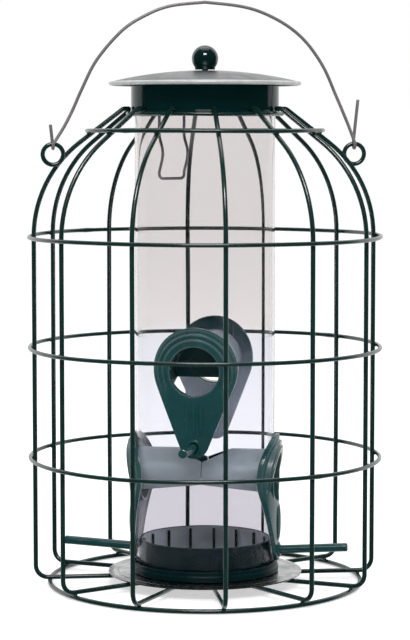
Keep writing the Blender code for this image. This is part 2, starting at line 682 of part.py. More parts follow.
def dome_under(radius):
    """The height of the lid's inner face at a radius."""
    inner = LID_CURVE_RADIUS - LID_SHEET
    return LID_TOP - LID_CURVE_RADIUS + math.sqrt(inner ** 2 - radius ** 2)


def add_collar(parts, paint):
    """The neck collar that the lid rests on."""
    top = dome_under(COLLAR_RADIUS + COLLAR_BEAD) - CLEARANCE
    inner = COLLAR_RADIUS - COLLAR_WALL
    section = [
        (COLLAR_RADIUS - COLLAR_BEAD, top),
        (COLLAR_RADIUS, top - COLLAR_BEAD),
        (COLLAR_RADIUS, COLLAR_BOTTOM),
        (inner, COLLAR_BOTTOM),
        (inner, top),
    ]
    turned("neck_collar", section, parts, paint, steps=HOOP_STEPS)


def add_lid(parts, paint, galvanised, plastic, steel):
    """The dome with its rolled rim, the insert, knob, screw and catch wire."""
    hole = LID_SCREW_RADIUS + CLEARANCE
    shares = [step / LID_RINGS for step in range(LID_RINGS + 1)]
    outer_radii = [hole + (LID_DOME_RADIUS - hole) * share for share in shares]
    outer = [(radius, dome_height(radius)) for radius in outer_radii]
    crease = outer[-1][1]
    half_turn = arc((0.0, 0.0), LID_RIM_WIDTH, math.pi / 2, -math.pi / 2, 4)
    rim_middle = crease - LID_RIM_HEIGHT / 2
    flatten = LID_RIM_HEIGHT / (2 * LID_RIM_WIDTH)
    rim = [(LID_DOME_RADIUS + out, rim_middle + rise * flatten) for out, rise in half_turn]
    under_start = LID_DOME_RADIUS - LID_SHEET / 2
    under_radii = [under_start + (hole - under_start) * share for share in shares]
    under = [(radius, dome_under(radius)) for radius in under_radii]
    turned("lid_dome", [*outer, *rim[1:], *under], parts, galvanised)

    insert_top = dome_under(INSERT_RADIUS) - CLEARANCE
    floor_top = insert_top - INSERT_FLOOR_DEPTH
    floor_bottom = floor_top - INSERT_WALL
    insert_inner = INSERT_RADIUS - INSERT_WALL
    boss = LID_SCREW_HEAD_RADIUS + CLEARANCE
    insert = [
        (INSERT_RADIUS, insert_top),
        (INSERT_RADIUS, INSERT_BOTTOM),
        (insert_inner, INSERT_BOTTOM),
        (insert_inner, floor_bottom),
        (hole, floor_bottom),
        (hole, dome_under(boss) - CLEARANCE),
        (boss, dome_under(boss) - CLEARANCE),
        (boss, floor_top),
        (insert_inner, floor_top),
        (insert_inner, insert_top - CLEARANCE),
    ]
    turned("lid_insert", insert, parts, plastic, steps=ROUND_SIDES)

    knob_bottom = dome_height(hole) + CLEARANCE
    ball_start = -math.acos(KNOB_NECK_RADIUS / KNOB_RADIUS)
    ball = arc((0.0, KNOB_CENTRE_HEIGHT), KNOB_RADIUS, math.pi / 2, ball_start, 7)
    bore_top = knob_bottom + KNOB_BORE_DEPTH
    knob = [*ball, (KNOB_NECK_RADIUS, knob_bottom), (hole, knob_bottom), (hole, bore_top), (0.0, bore_top)]
    turned("lid_knob", [(0.0, knob[0][1]), *knob[1:]], parts, paint, steps=ROUND_SIDES, closed=False)

    head_top = floor_bottom - CLEARANCE
    screw_top = bore_top - CLEARANCE
    screw = [
        (0.0, screw_top),
        (LID_SCREW_RADIUS, screw_top),
        (LID_SCREW_RADIUS, head_top),
        (LID_SCREW_HEAD_RADIUS, head_top),
        (LID_SCREW_HEAD_RADIUS, head_top - LID_SCREW_HEAD / 2),
        (LID_SCREW_RADIUS, head_top - LID_SCREW_HEAD),
        (0.0, head_top - LID_SCREW_HEAD),
    ]
    turned("lid_screw", screw, parts, steel, steps=SMALL_SIDES, closed=False)
    add_catch(parts, steel, insert_inner, floor_bottom)


def add_catch(parts, steel, insert_inner, ceiling):
    """The catch: a U of spring wire under the insert, with a knee in both legs."""
    half = CATCH_WIDTH / 2
    leg_radius = insert_inner - CLEARANCE - CATCH_WIRE / 2
    out = math.sqrt(leg_radius ** 2 - half ** 2)
    knee = out - CATCH_KNEE_DEPTH
    top = ceiling - CLEARANCE
    leg = [
        (out, top),
        (out, CATCH_SHOULDER_HEIGHT),
        (knee, CATCH_KNEE_HEIGHT + CATCH_CORNER),
        (knee, CATCH_KNEE_HEIGHT - CATCH_CORNER),
        (out, CATCH_BOTTOM + CATCH_CORNER),
    ]
    bottom = arc((half - CATCH_CORNER, CATCH_BOTTOM + CATCH_CORNER), CATCH_CORNER, 0.0, -math.pi / 2, 3)
    right = [Vector((radius, half, height)) for radius, height in leg]
    right += [Vector((out, y, height)) for y, height in bottom[1:]]
    left = [Vector((point.x, -point.y, point.z)) for point in reversed(right)]
    catch = wire("lid_catch", [*right, *left], CATCH_WIRE, parts, steel)
    catch.rotation_euler.z = turn_to(CATCH_AZIMUTH)


def main():
    clear_scene()
    parts = make_collection("bird_feeder")
    tools = make_collection("cutters")
    paint = make_material("green_enamel", (0.006, 0.040, 0.036), 0.28)
    moulded = make_material("green_plastic", (0.010, 0.058, 0.058), 0.38)
    galvanised = make_material("galvanised_sheet", (0.42, 0.44, 0.44), 0.34, 0.8)
    steel = make_material("bare_steel", (0.20, 0.18, 0.17), 0.35, 1.0)
    clear = make_material("clear_plastic", (0.86, 0.80, 0.82), 0.08, 0.0, 0.25)
    half_span = add_cage(parts, paint)
    add_bail(parts, steel, half_span)
    add_base(parts, tools, paint, galvanised, moulded, steel)
    add_tube(parts, tools, clear)
    add_ports(parts, tools, moulded)
    add_collar(parts, paint)
    add_lid(parts, paint, galvanised, moulded, steel)


main()
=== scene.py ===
"""Detailed visual model of a caged seed feeder for small birds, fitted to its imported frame.

Metres, +Z up. The front feeding port faces -Y. An azimuth is counted from it, positive towards +X.
"""
import json
import math
import random

import bmesh
import bpy
from bpy.props import FloatProperty, FloatVectorProperty, PointerProperty
from mathutils import Matrix, Vector, noise


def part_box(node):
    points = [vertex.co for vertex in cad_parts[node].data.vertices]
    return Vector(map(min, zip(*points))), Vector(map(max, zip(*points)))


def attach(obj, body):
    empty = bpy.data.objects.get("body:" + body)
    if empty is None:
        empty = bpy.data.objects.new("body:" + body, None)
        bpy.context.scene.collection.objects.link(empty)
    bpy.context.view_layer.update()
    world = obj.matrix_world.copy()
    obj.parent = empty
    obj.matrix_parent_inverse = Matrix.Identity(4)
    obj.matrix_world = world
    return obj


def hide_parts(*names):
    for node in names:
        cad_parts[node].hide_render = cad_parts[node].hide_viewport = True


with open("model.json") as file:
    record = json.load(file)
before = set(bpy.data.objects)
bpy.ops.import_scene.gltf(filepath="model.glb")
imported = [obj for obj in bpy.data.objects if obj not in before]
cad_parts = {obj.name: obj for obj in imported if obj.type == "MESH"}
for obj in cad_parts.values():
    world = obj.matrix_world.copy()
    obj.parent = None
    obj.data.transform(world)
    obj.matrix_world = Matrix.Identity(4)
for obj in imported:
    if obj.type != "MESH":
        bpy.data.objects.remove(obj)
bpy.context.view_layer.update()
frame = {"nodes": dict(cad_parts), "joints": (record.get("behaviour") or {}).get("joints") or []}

bl_info = {
    "name": "Caged Seed Feeder",
    "version": (1, 0, 0),
    "blender": (4, 5, 0),
    "location": "View3D > Sidebar > Feeder",
    "description": "Builds a welded wire feeder with a clear seed tube, moulded ports and a wire bail",
    "category": "Add Mesh",
}

SIDES = ("front", "right", "back", "left")
HOOPS = ("lower_hoop", "middle_hoop", "upper_hoop", "shoulder_hoop", "neck_hoop")
RIB_COUNT = 12
FIRST_RIB = math.radians(15)
SHARP_ANGLE = math.radians(40)
CLEARANCE = 0.0003
BASE_SCREW_HOLE = 0.0023
LID_SCREW_HOLE = 0.0018
TUBE_FIT = 0.0005
PORT_HEAD_RISE = 0.0008
COAT_RELIEF = 0.00010


def middle(node):
    """The middle of a CAD node's box."""
    low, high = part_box(node)
    return (Vector(low) + Vector(high)) / 2


def reach(node):
    """How far a CAD node's box goes out along +X."""
    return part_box(node)[1][0]


def level(node, end=0):
    """The lowest or, with end 1, the highest point of a CAD node's box."""
    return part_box(node)[end][2]


def size(name, default, about):
    """A length that a user may change."""
    return FloatProperty(name=name, description=about, default=default, unit="LENGTH", precision=5)


def angle(name, degrees, about):
    """An angle that a user may change."""
    return FloatProperty(name=name, description=about, default=math.radians(degrees), subtype="ANGLE")


def colour(name, default, about):
    """A scene-linear colour that a user may change."""
    return FloatVectorProperty(
        name=name, description=about, default=default, subtype="COLOR", size=3, min=0.0, max=1.0
    )


class FeederCage(bpy.types.PropertyGroup):
    """Sizes of the welded wire cage and the bail."""
    rib_wire: size("Rib wire", 0.0023, "Diameter of the twelve ribs, coat included")
    hoop_wire: size("Hoop wire", 0.0020, "Diameter of the level hoops")
    base_wire: size("Base hoop wire", level("base_hoop", 1), "Diameter of the hoop that the feeder stands on")
    radius: size("Cage radius", 0.0840, "From the axis to the middle of an upright")
    spoke_start: size("Spoke start", 0.0240, "From the axis to a spoke's inner end")
    corner: size("Corner", 0.0060, "Bend radius between spoke and upright")
    spring: size("Spring height", middle("upper_hoop").z, "Height at which the dome starts to bend in")
    dome_bend: size("Dome bend", 0.0580, "Bend radius of the dome")
    dome_angle: angle("Dome angle", 52.5, "Turn of the dome's bend")
    rib_end: size("Rib end height", 0.2341, "Height of a rib's inner end at the neck")
    end_bend: size("End bend", 0.0025, "Bend radius near a rib's inner end")
    weld: size("Weld", 0.00105, "Radius of the coated weld lump where two wires cross")
    sway: size("Sway", 0.00028, "How far a hand-set upright bows from a straight line")
    ear_radius: size("Ear radius", 0.0050, "Middle radius of an ear ring")
    ear_wire: size("Ear wire", 0.0022, "Diameter of the ear ring's wire")
    ear_place: size("Ear place", 0.07460, "From the axis to the middle of an ear ring")
    ear_azimuth: angle("Ear azimuth", 107.10, "Direction of the right ear ring")
    bail_wire: size("Bail wire", 0.0016, "Diameter of the carrying wire")
    bail_rise: size("Bail rise", 0.0686, "From the hinge line to the crown's middle")
    left_tail: size("Left tail", 0.0095, "Free end of the carrying wire at the left ear")
    right_tail: size("Right tail", 0.0218, "Free end of the carrying wire at the right ear")


class FeederTube(bpy.types.PropertyGroup):
    """Sizes of the seed tube, its ports, the cup and the plate."""
    tube_radius: size("Tube radius", 0.0344, "Outer radius of the clear tube")
    tube_wall: size("Tube wall", 0.0012, "Wall of the clear tube")
    hole_radius: size("Port hole", 0.0120, "Radius of the hole that a bird feeds through")
    head_radius: size("Port head", 0.0205, "Radius of the port's round head")
    tail_radius: size("Port tail", 0.0070, "Radius of the port's round tail")
    tail_drop: size("Tail drop", 0.0348, "From the hole's middle down to the tail's middle")
    port_plate: size("Port plate", 0.0022, "Thickness of the port against the tube")
    outer_visor: size("Outer rain ring", 0.0182, "Radius of the lower rain ring round the hole")
    outer_visor_reach: size("Outer ring reach", 0.0036, "How far the lower rain ring stands off the tube")
    inner_visor: size("Inner rain ring", 0.0156, "Radius of the upper rain ring round the hole")
    inner_visor_reach: size("Inner ring reach", 0.0043, "How far the upper rain ring stands off the tube")
    visor_tilt: angle("Visor tilt", 12, "Lean of the two rain rings")
    hood_wall: size("Hood wall", 0.0015, "Wall of the inner hood that keeps seed off the hole")
    hood_web: size("Hood web", 0.0014, "Wall that closes the hood behind the hole")
    hood_edge_drop: size("Hood edge drop", 0.0062, "From the hole's middle down to the hood's edge")
    hood_edge_rise: size("Hood edge rise", 0.0034, "How much the hood's edge climbs towards the axis")
    hood_notch: size("Hood notch", 0.0058, "How much the hood's roof falls towards the axis")
    perch_radius: size("Perch radius", 0.0021, "Radius of a perch")
    perch_reach: size("Perch reach", 0.0710, "From the axis to a perch's tip")
    perch_drop: size("Perch drop", 0.0366, "From the hole's middle down to the perch")
    perch_tilt: angle("Perch tilt", 3.4, "Rise of a perch towards its tip")
    plate_radius: size("Plate radius", 0.0480, "Radius of the plate on the spokes")
    cup_radius: size("Cup radius", 0.0360, "Outer radius of the base cup")
    cup_skirt: size("Cup skirt", 0.0050, "Height of the cup's outer wall")
    cup_groove: size("Cup groove", 0.0024, "Depth of the groove that the tube stands in")
    cup_floor: size("Cup floor", 0.0022, "Thickness of the cup's floor")


class FeederLid(bpy.types.PropertyGroup):
    """Sizes of the neck collar, the lid and its catch."""
    collar_radius: size("Collar radius", 0.0366, "Outer radius of the neck collar")
    collar_wall: size("Collar wall", 0.0010, "Wall of the neck collar")
    lid_radius: size("Lid radius", 0.0470, "Outer radius of the rolled rim")
    lid_sheet: size("Lid sheet", 0.0008, "Thickness of the lid")
    lid_rise: size("Lid rise", 0.0053, "Rise of the dome over its rim")
    rim_width: size("Rim width", 0.0018, "Width of the rolled rim")
    rim_height: size("Rim height", 0.0021, "Height of the rolled rim")
    knob_radius: size("Knob radius", 0.0065, "Radius of the ball knob")
    knob_centre: size("Knob centre", level("lid_knob", 1) - 0.0065, "Height of the ball's middle")
    catch_wire: size("Catch wire", 0.0015, "Diameter of the spring wire")
    catch_width: size("Catch width", 0.0150, "Width of the spring wire's loop")
    catch_sag: size("Catch sag", 0.0025, "How much lower the sprung loop hangs than its solid")


class FeederColours(bpy.types.PropertyGroup):
    """Colours of the finishes and the stage."""
    enamel: colour("Enamel", (0.0035, 0.0250, 0.0215), "Gloss coat on the cage wires")
    enamel_band: colour("Collar enamel", (0.0015, 0.0150, 0.0150), "Gloss coat on the collar and the knob")
    moulded: colour("Moulded plastic", (0.0090, 0.0560, 0.0590), "Ports and perches")
    cup: colour("Cup plastic", (0.0018, 0.0145, 0.0165), "Base cup and lid insert")
    zinc: colour("Lid sheet", (0.188, 0.208, 0.207), "Galvanised lid")
    # Painted highlight: the rim is the lid's galvanised sheet, painted far brighter to stand for the light it
    # catches.
    rim: colour("Rim sheet", (0.62, 0.64, 0.63), "Rolled rim of the lid")
    plate: colour("Plate sheet", (0.47, 0.48, 0.48), "Galvanised bottom plate")
    bare_wire: colour("Bare wire", (0.215, 0.200, 0.212), "Bail and catch")
    steel: colour("Screw steel", (0.42, 0.41, 0.40), "Screws and nut")
    # Painted light: a pale colour on the ports' and cup's faces inside the tube, and thinly on the ports'
    # ring steps as a painted highlight, standing for the light and reflections they catch.
    bloom: colour("Bloom", (0.86, 0.93, 0.96), "Pale matt skin of the moulded faces inside the tube")
    # Tints of the clear tube by height; the darker tones at the top and over the cup are painted shade.
    tube: colour("Tube top", (0.826, 0.803, 0.802), "Tint of the clear tube over the ports")
    tube_middle: colour("Tube middle", (0.832, 0.836, 0.869), "Tint of the clear tube beside the ports")
    tube_low: colour("Tube low", (0.715, 0.700, 0.734), "Tint of the clear tube over the cup")
    backdrop: colour("Backdrop", (1.0, 1.0, 1.0), "Background and floor")


class FeederView(bpy.types.PropertyGroup):
    """Place of the camera, which the lamps follow."""
    distance: size("Distance", 1.120, "Level distance from the feeder's axis to the camera")
    eye_height: size("Eye height", 0.2275, "Height of the camera over the floor")
    aim_height: size("Aim height", 0.1304, "Height on the axis at which the camera looks")
    azimuth: angle("Azimuth", 8.5, "Direction of the camera from the front port")
    lens: FloatProperty(name="Lens", description="Focal length in millimetres", default=128.25)


def settings(name):
    """One of the feeder's groups of sizes or colours."""
    return getattr(bpy.context.scene, f"feeder_{name}")


def paint(name, share=1.0):
    """One of the feeder's colours, dimmed or brightened by a share, as a node's socket takes it."""
    return (*(Vector(getattr(settings("colours"), name)) * share), 1.0)


def radial(radius, azimuth, height=0.0):
    """A point at a radius and azimuth."""
    return Vector((radius * math.sin(azimuth), -radius * math.cos(azimuth), height))


def turn_to(azimuth):
    """The rotation about Z that takes +X to an azimuth."""
    return Matrix.Rotation(azimuth - math.pi / 2, 4, "Z")


def arc(centre, radius, start, end, count):
    """Points on an arc in a plane."""
    angles = [start + (end - start) * step / count for step in range(count + 1)]
    return [(centre[0] + radius * math.cos(a), centre[1] + radius * math.sin(a)) for a in angles]


def clamped(value):
    """A value held between 0 and 1."""
    return min(max(value, 0.0), 1.0)


def eased(profile, amount, count):
    """A closed profile with its corners rounded, and a point beside each to hold the shading."""
    most_share, hold_share = 0.3, 1.5
    rounded = []
    for index, point in enumerate(profile):
        here = Vector(point)
        before = Vector(profile[index - 1]) - here
        after = Vector(profile[(index + 1) % len(profile)]) - here
        cut = min(amount, before.length * most_share, after.length * most_share)
        start, end = here + before.normalized() * cut, here + after.normalized() * cut
        rounded.append(tuple(here + before.normalized() * cut * hold_share))
        for step in range(count + 1):
            t = step / count
            rounded.append(tuple(start * (1 - t) ** 2 + here * (2 * t * (1 - t)) + end * t * t))
        rounded.append(tuple(here + after.normalized() * cut * hold_share))
    return rounded


def smooth_path(points, steps):
    """A smooth curve through points, with a number of samples between each two."""
    padded = [points[0], *points, points[-1]]
    path = []
    for index in range(1, len(padded) - 2):
        before, start, end, after = (Vector(padded[index + shift]) for shift in (-1, 0, 1, 2))
        for step in range(steps):
            t = step / steps
            path.append(
                start
                + (end - before) * (t / 2)
                + (before * 2 - start * 5 + end * 4 - after) * (t * t / 2)
                + (start * 3 - before - end * 3 + after) * (t ** 3 / 2)
            )
    path.append(Vector(points[-1]))
    return path


def mesh_of(name, shape):
    """The mesh of a bmesh, which is used up."""
    mesh = bpy.data.meshes.new(name)
    shape.to_mesh(mesh)
    shape.free()
    return mesh


def show(name, data):
    """A new object in the scene."""
    item = bpy.data.objects.new(name, data)
    bpy.context.scene.collection.objects.link(item)
    return item


def place_mesh(name, mesh, material, body, slot, *replaced):
    """Shows a mesh as a named piece that rides on a body and may stand for CAD nodes."""
    mesh.materials.clear()
    mesh.materials.append(material)
    piece = show(name, mesh)
    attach(piece, body)
    if replaced:
        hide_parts(*replaced)
    return piece


def coated(*nodes):
    """The dress of a coated part of the cage: its material, body, slot and the nodes that it replaces."""
    return (enamel(), "cage", "green_enamel", *nodes)


def moulded(node):
    """The dress of a port or perch."""
    return (moulded_plastic(), "cage", "green_plastic", node)


def finish_piece(name, shape, *dress, place=None):
    """Turns a bmesh into a piece with its dress."""
    if place is not None:
        bmesh.ops.transform(shape, matrix=place, verts=shape.verts)
    bmesh.ops.recalc_face_normals(shape, faces=shape.faces)
    mesh = mesh_of(name, shape)
    mesh.shade_smooth()
    mesh.set_sharp_from_angle(angle=SHARP_ANGLE)
    return place_mesh(name, mesh, *dress)


def turned_piece(name, profile, steps, *dress, closed=True):
    """A piece from a profile that is turned round Z."""
    shape = bmesh.new()
    add_lathe(shape, profile, steps, closed)
    return finish_piece(name, shape, *dress)


def bent_piece(name, points, radius, *dress, place=None, **form):
    """A piece from one round wire or rod along points."""
    shape = bmesh.new()
    add_wire(shape, points, radius, **form)
    return finish_piece(name, shape, *dress, place=place)


def mark_bloom(mesh, share):
    """Writes for each vertex how much painted light its face has; share gives it for a place."""
    mark = mesh.attributes.new("bloom", "FLOAT", "POINT")
    for vertex in mesh.vertices:
        mark.data[vertex.index].value = share(vertex.co)


def bridge(shape, first, second):
    """Joins two closed rings of vertices with faces; a ring of one vertex is a pole."""
    count = max(len(first), len(second))
    if count == 1:
        return
    for step in range(count):
        follow = (step + 1) % count
        if len(first) == 1:
            corners = (first[0], second[follow], second[step])
        elif len(second) == 1:
            corners = (first[step], first[follow], second[0])
        else:
            corners = (first[step], first[follow], second[follow], second[step])
        shape.faces.new(corners)


def close_ends(shape, first, last):
    """Covers the two ends of a row of rings."""
    shape.faces.new(first[::-1])
    shape.faces.new(last)


def add_wire(shape, points, radius, sides=14, closed=False, tip=0.6, swell=None):
    """Adds a round wire along points to a bmesh; swell gives a share of the radius for each point."""
    points = [Vector(point) for point in points]
    count = len(points)
    radii = [radius * share for share in swell or [1.0] * count]
    if closed:
        steps = [points[(index + 1) % count] - points[index - 1] for index in range(count)]
    else:
        steps = [points[min(index + 1, count - 1)] - points[max(index - 1, 0)] for index in range(count)]
    tangents = [step.normalized() for step in steps]
    if not closed:
        cap_angles, blunting, least_share = (0, 30, 60, 85), 0.35, 0.12
        ease = radius * tip
        caps = [(math.sin(a), math.cos(a)) for a in map(math.radians, cap_angles)]
        starts = [points[0] + tangents[0] * ease * (1 - s) for s, c in reversed(caps)]
        ends = [points[-1] - tangents[-1] * ease * (1 - s) for s, c in caps]
        shares = [c * tip + (1 - tip) * (1 - s * s * s * blunting) for s, c in caps]
        shares[-1] = max(1 - tip, least_share)
        cap_radii = [radius * share for share in shares]
        points = starts + points[1:-1] + ends
        radii = cap_radii[::-1] + radii[1:-1] + cap_radii
        tangents = [tangents[0]] * len(caps) + tangents[1:-1] + [tangents[-1]] * len(caps)
    across = tangents[0].orthogonal().normalized()
    before = tangents[0]
    rings = []
    for point, reach_out, tangent in zip(points, radii, tangents):
        across = before.rotation_difference(tangent) @ across
        across = (across - tangent * across.dot(tangent)).normalized()
        up = tangent.cross(across)
        around = [2 * math.pi * side / sides for side in range(sides)]
        offsets = [across * math.cos(a) + up * math.sin(a) for a in around]
        rings.append([shape.verts.new(point + offset * reach_out) for offset in offsets])
        before = tangent
    if closed:
        shift = closing_shift(rings[-1], rings[0])
        rings.append(rings[0][shift:] + rings[0][:shift])
    for first, second in zip(rings, rings[1:]):
        bridge(shape, first, second)
    if not closed:
        close_ends(shape, rings[0], rings[-1])


def closing_shift(last, first):
    """How many places a closed wire's first ring turns to meet its last."""
    spreads = []
    for shift in range(len(first)):
        turned = first[shift:] + first[:shift]
        spreads.append((sum((a.co - b.co).length for a, b in zip(last, turned)), shift))
    return min(spreads)[1]


def add_lathe(shape, profile, steps, closed=True):
    """Adds a profile of (radius, height) points turned round Z to a bmesh; a radius of 0 is a pole."""
    angles = [2 * math.pi * step / steps for step in range(steps)]
    rings = []
    for radius, height in profile:
        around = angles if radius > 0 else [0.0]
        rings.append([shape.verts.new((radius * math.cos(a), radius * math.sin(a), height)) for a in around])
    for first, second in zip(rings, [*rings[1:], rings[0]] if closed else rings[1:]):
        bridge(shape, first, second)


def add_lump(shape, centre, sizes, turn, seed):
    """Adds a small uneven round lump, such as a weld, to a bmesh."""
    uneven_share, waves_per_metre = 0.14, 900
    matrix = Matrix.Translation(centre) @ turn @ Matrix.Diagonal((*sizes, 1.0))
    made = bmesh.ops.create_icosphere(shape, subdivisions=2, radius=1.0, matrix=matrix)
    for vert in made["verts"]:
        rise = uneven_share * noise.noise(vert.co * waves_per_metre + Vector((seed, 0.0, 0.0)))
        vert.co = centre + (vert.co - centre) * (1 + rise)


def rod_tool(name, radius, start, end, sides=64):
    """A cylinder between two points, for joining and cutting."""
    start, end = Vector(start), Vector(end)
    along = end - start
    matrix = Matrix.Translation((start + end) / 2) @ along.to_track_quat("Z", "Y").to_matrix().to_4x4()
    shape = bmesh.new()
    bmesh.ops.create_cone(
        shape, cap_ends=True, segments=sides, radius1=radius, radius2=radius, depth=along.length,
        matrix=matrix,
    )
    return show(name, mesh_of(name, shape))


def block_tool(name, low, high, turn, at):
    """A block between two corners, leaned about X and moved, for cutting."""
    low, high = Vector(low), Vector(high)
    matrix = Matrix.Translation(at) @ Matrix.Rotation(turn, 4, "X") @ Matrix.Translation((low + high) / 2)
    shape = bmesh.new()
    bmesh.ops.create_cube(shape, size=1.0, matrix=matrix @ Matrix.Diagonal((*(high - low), 1.0)))
    return show(name, mesh_of(name, shape))


def combine(target, tool, operation):
    """Cuts, joins or intersects an object with a tool."""
    step = target.modifiers.new(tool.name, "BOOLEAN")
    step.operation = operation
    step.solver = "EXACT"
    step.object = tool


def baked(item, tools=()):
    """The mesh that an object's modifiers give; the object and its tools are removed."""
    bpy.context.view_layer.update()
    mesh = bpy.data.meshes.new_from_object(item.evaluated_get(bpy.context.evaluated_depsgraph_get()))
    for spare in (item, *tools):
        bpy.data.objects.remove(spare, do_unlink=True)
    return mesh


def fill_inputs(tree, item, inputs):
    """Links sockets to a node's inputs, or sets plain values on them."""
    for key, value in inputs.items():
        if isinstance(value, bpy.types.NodeSocket):
            tree.links.new(value, item.inputs[key])
        else:
            item.inputs[key].default_value = value


def add_node(tree, kind, inputs=None, **values):
    """Adds a node with its values and inputs."""
    item = tree.nodes.new(kind)
    for name, value in values.items():
        setattr(item, name, value)
    fill_inputs(tree, item, inputs or {})
    return item


def arithmetic(tree, operation, *values):
    """The result of one operation on numbers or sockets."""
    return add_node(tree, "ShaderNodeMath", dict(enumerate(values)), operation=operation).outputs[0]


def noise_at(tree, place, scale, detail, roughness=0.5):
    """Soft noise over the surface."""
    inputs = {"Vector": place, "Scale": scale, "Detail": detail, "Roughness": roughness}
    return add_node(tree, "ShaderNodeTexNoise", inputs).outputs


def mapped(tree, value, low, high, to_low=0.0, to_high=1.0, **values):
    """A value taken from one range to another."""
    inputs = {"Value": value, "From Min": low, "From Max": high, "To Min": to_low, "To Max": to_high}
    return add_node(tree, "ShaderNodeMapRange", inputs, **values).outputs[0]


def mixed_value(tree, share, first, second):
    """A value between two others."""
    return add_node(tree, "ShaderNodeMix", {"Factor": share, 2: first, 3: second}).outputs[0]


def mixed_colour(tree, share, first, second):
    """A colour between two others."""
    inputs = {"Factor": share, 6: first, 7: second}
    return add_node(tree, "ShaderNodeMix", inputs, data_type="RGBA").outputs[2]


def object_place(tree):
    """The place on the piece, in its own coordinates."""
    return add_node(tree, "ShaderNodeTexCoord").outputs["Object"]


def shader_group(name, takes, gives):
    """Makes of a function that joins inputs to outputs one that gives the node group, built once."""
    def wrap(fill):
        def group():
            if name in bpy.data.node_groups:
                return bpy.data.node_groups[name]
            tree = bpy.data.node_groups.new(name, "ShaderNodeTree")
            for label, value in takes.items():
                kind = "NodeSocketColor" if isinstance(value, tuple) else "NodeSocketFloat"
                socket = tree.interface.new_socket(name=label, in_out="INPUT", socket_type=kind)
                socket.default_value = value
            for label in gives:
                kind = "NodeSocketColor" if label == "Colour" else "NodeSocketFloat"
                tree.interface.new_socket(name=label, in_out="OUTPUT", socket_type=kind)
            start, end = tree.nodes.new("NodeGroupInput"), tree.nodes.new("NodeGroupOutput")
            for label, socket in zip(gives, fill(tree, start.outputs)):
                tree.links.new(socket, end.inputs[label])
            return tree
        return group
    return wrap


@shader_group(
    "Feeder coat skin", {"Peel scale": 900.0, "Wave scale": 90.0, "Gloss low": 0.2, "Gloss high": 0.4},
    ("Height", "Roughness"),
)
def coat_skin(tree, given):
    """Powder coat and moulded skin: fine orange peel, soft waves and patches of duller gloss."""
    place = object_place(tree)
    peel = noise_at(tree, place, given["Peel scale"], 2.0)["Fac"]
    wave = noise_at(tree, place, given["Wave scale"], 4.0)["Fac"]
    height = arithmetic(tree, "MULTIPLY_ADD", wave, 0.6, peel)
    return height, mapped(tree, wave, 0.35, 0.68, given["Gloss low"], given["Gloss high"])


@shader_group(
    "Feeder dust",
    {
        "Colour": (0.1, 0.1, 0.1, 1.0), "Dust colour": (0.3, 0.3, 0.28, 1.0), "Dust": 0.1, "Change": 0.25,
        "Scale": 60.0,
    },
    ("Colour",),
)
def dusted_colour(tree, given):
    """Colour with faint cloudy change and a little pale dust on what faces up."""
    place = object_place(tree)
    cloud = noise_at(tree, place, given["Scale"], 5.0, 0.6)["Fac"]
    centred = mapped(tree, cloud, 0.3, 0.7, -0.5, 0.5)
    swing = arithmetic(tree, "MULTIPLY_ADD", centred, given["Change"], 1.0)
    tinted = add_node(tree, "ShaderNodeVectorMath", {0: given["Colour"], "Scale": swing}, operation="SCALE")
    face = add_node(tree, "ShaderNodeNewGeometry")
    split = add_node(tree, "ShaderNodeSeparateXYZ", {0: face.outputs["Normal"]})
    upward = mapped(tree, split.outputs["Z"], 0.1, 1.0, 0.15, 1.0)
    speck = mapped(tree, noise_at(tree, place, 700.0, 3.0)["Fac"], 0.45, 0.72)
    cover = arithmetic(tree, "MULTIPLY", upward, speck)
    mask = arithmetic(tree, "MULTIPLY", cover, given["Dust"])
    return (mixed_colour(tree, mask, tinted.outputs[0], given["Dust colour"]),)


@shader_group(
    "Feeder bare metal",
    {
        "Bright": (0.5, 0.5, 0.5, 1.0), "Dull": (0.2, 0.2, 0.2, 1.0), "Blotch scale": 120.0,
        "Crystal scale": 160.0, "Crystals": 0.5, "Gloss low": 0.25, "Gloss high": 0.5,
    },
    ("Colour", "Roughness", "Height"),
)
def metal_skin(tree, given):
    """Bare metal: crystals and blotches of dull and bright, with fine grain."""
    place = object_place(tree)
    bend_size = (0.0015, 0.0015, 0.0015)
    bend = noise_at(tree, place, 300.0, 2.0)["Color"]
    inputs = {0: bend, 1: bend_size, 2: place}
    shifted = add_node(tree, "ShaderNodeVectorMath", inputs, operation="MULTIPLY_ADD")
    inputs = {"Vector": shifted.outputs[0], "Scale": given["Crystal scale"]}
    crystal = add_node(tree, "ShaderNodeTexVoronoi", inputs)
    grey = add_node(tree, "ShaderNodeSeparateColor", {0: crystal.outputs["Color"]}).outputs[0]
    blotch = mapped(tree, noise_at(tree, place, given["Blotch scale"], 6.0, 0.65)["Fac"], 0.34, 0.68)
    blend = mixed_value(tree, given["Crystals"], blotch, grey)
    tone = mixed_colour(tree, blend, given["Dull"], given["Bright"])
    gloss = mapped(tree, blend, 0.0, 1.0, given["Gloss high"], given["Gloss low"])
    fine = noise_at(tree, place, 1800.0, 3.0)["Fac"]
    return tone, gloss, arithmetic(tree, "MULTIPLY_ADD", blend, 0.7, fine)


@shader_group(
    "Feeder bloom",
    {
        "Colour": (0.1, 0.1, 0.1, 1.0), "Bloom colour": (0.3, 0.3, 0.3, 1.0), "Roughness": 0.3,
        "Bloom roughness": 0.5,
    },
    ("Colour", "Roughness"),
)
def bloomed_skin(tree, given):
    """Two looks of a moulded piece, mixed by its mesh's mark: plain skin and a pale, matt look whose pale
    colour is painted light.
    """
    mark = add_node(tree, "ShaderNodeAttribute", attribute_name="bloom")
    uneven = mapped(tree, noise_at(tree, object_place(tree), 120.0, 4.0)["Fac"], 0.3, 0.7, 0.75, 1.0)
    share = arithmetic(tree, "MULTIPLY", mark.outputs["Fac"], uneven)
    tone = mixed_colour(tree, share, given["Colour"], given["Bloom colour"])
    return tone, mixed_value(tree, share, given["Roughness"], given["Bloom roughness"])


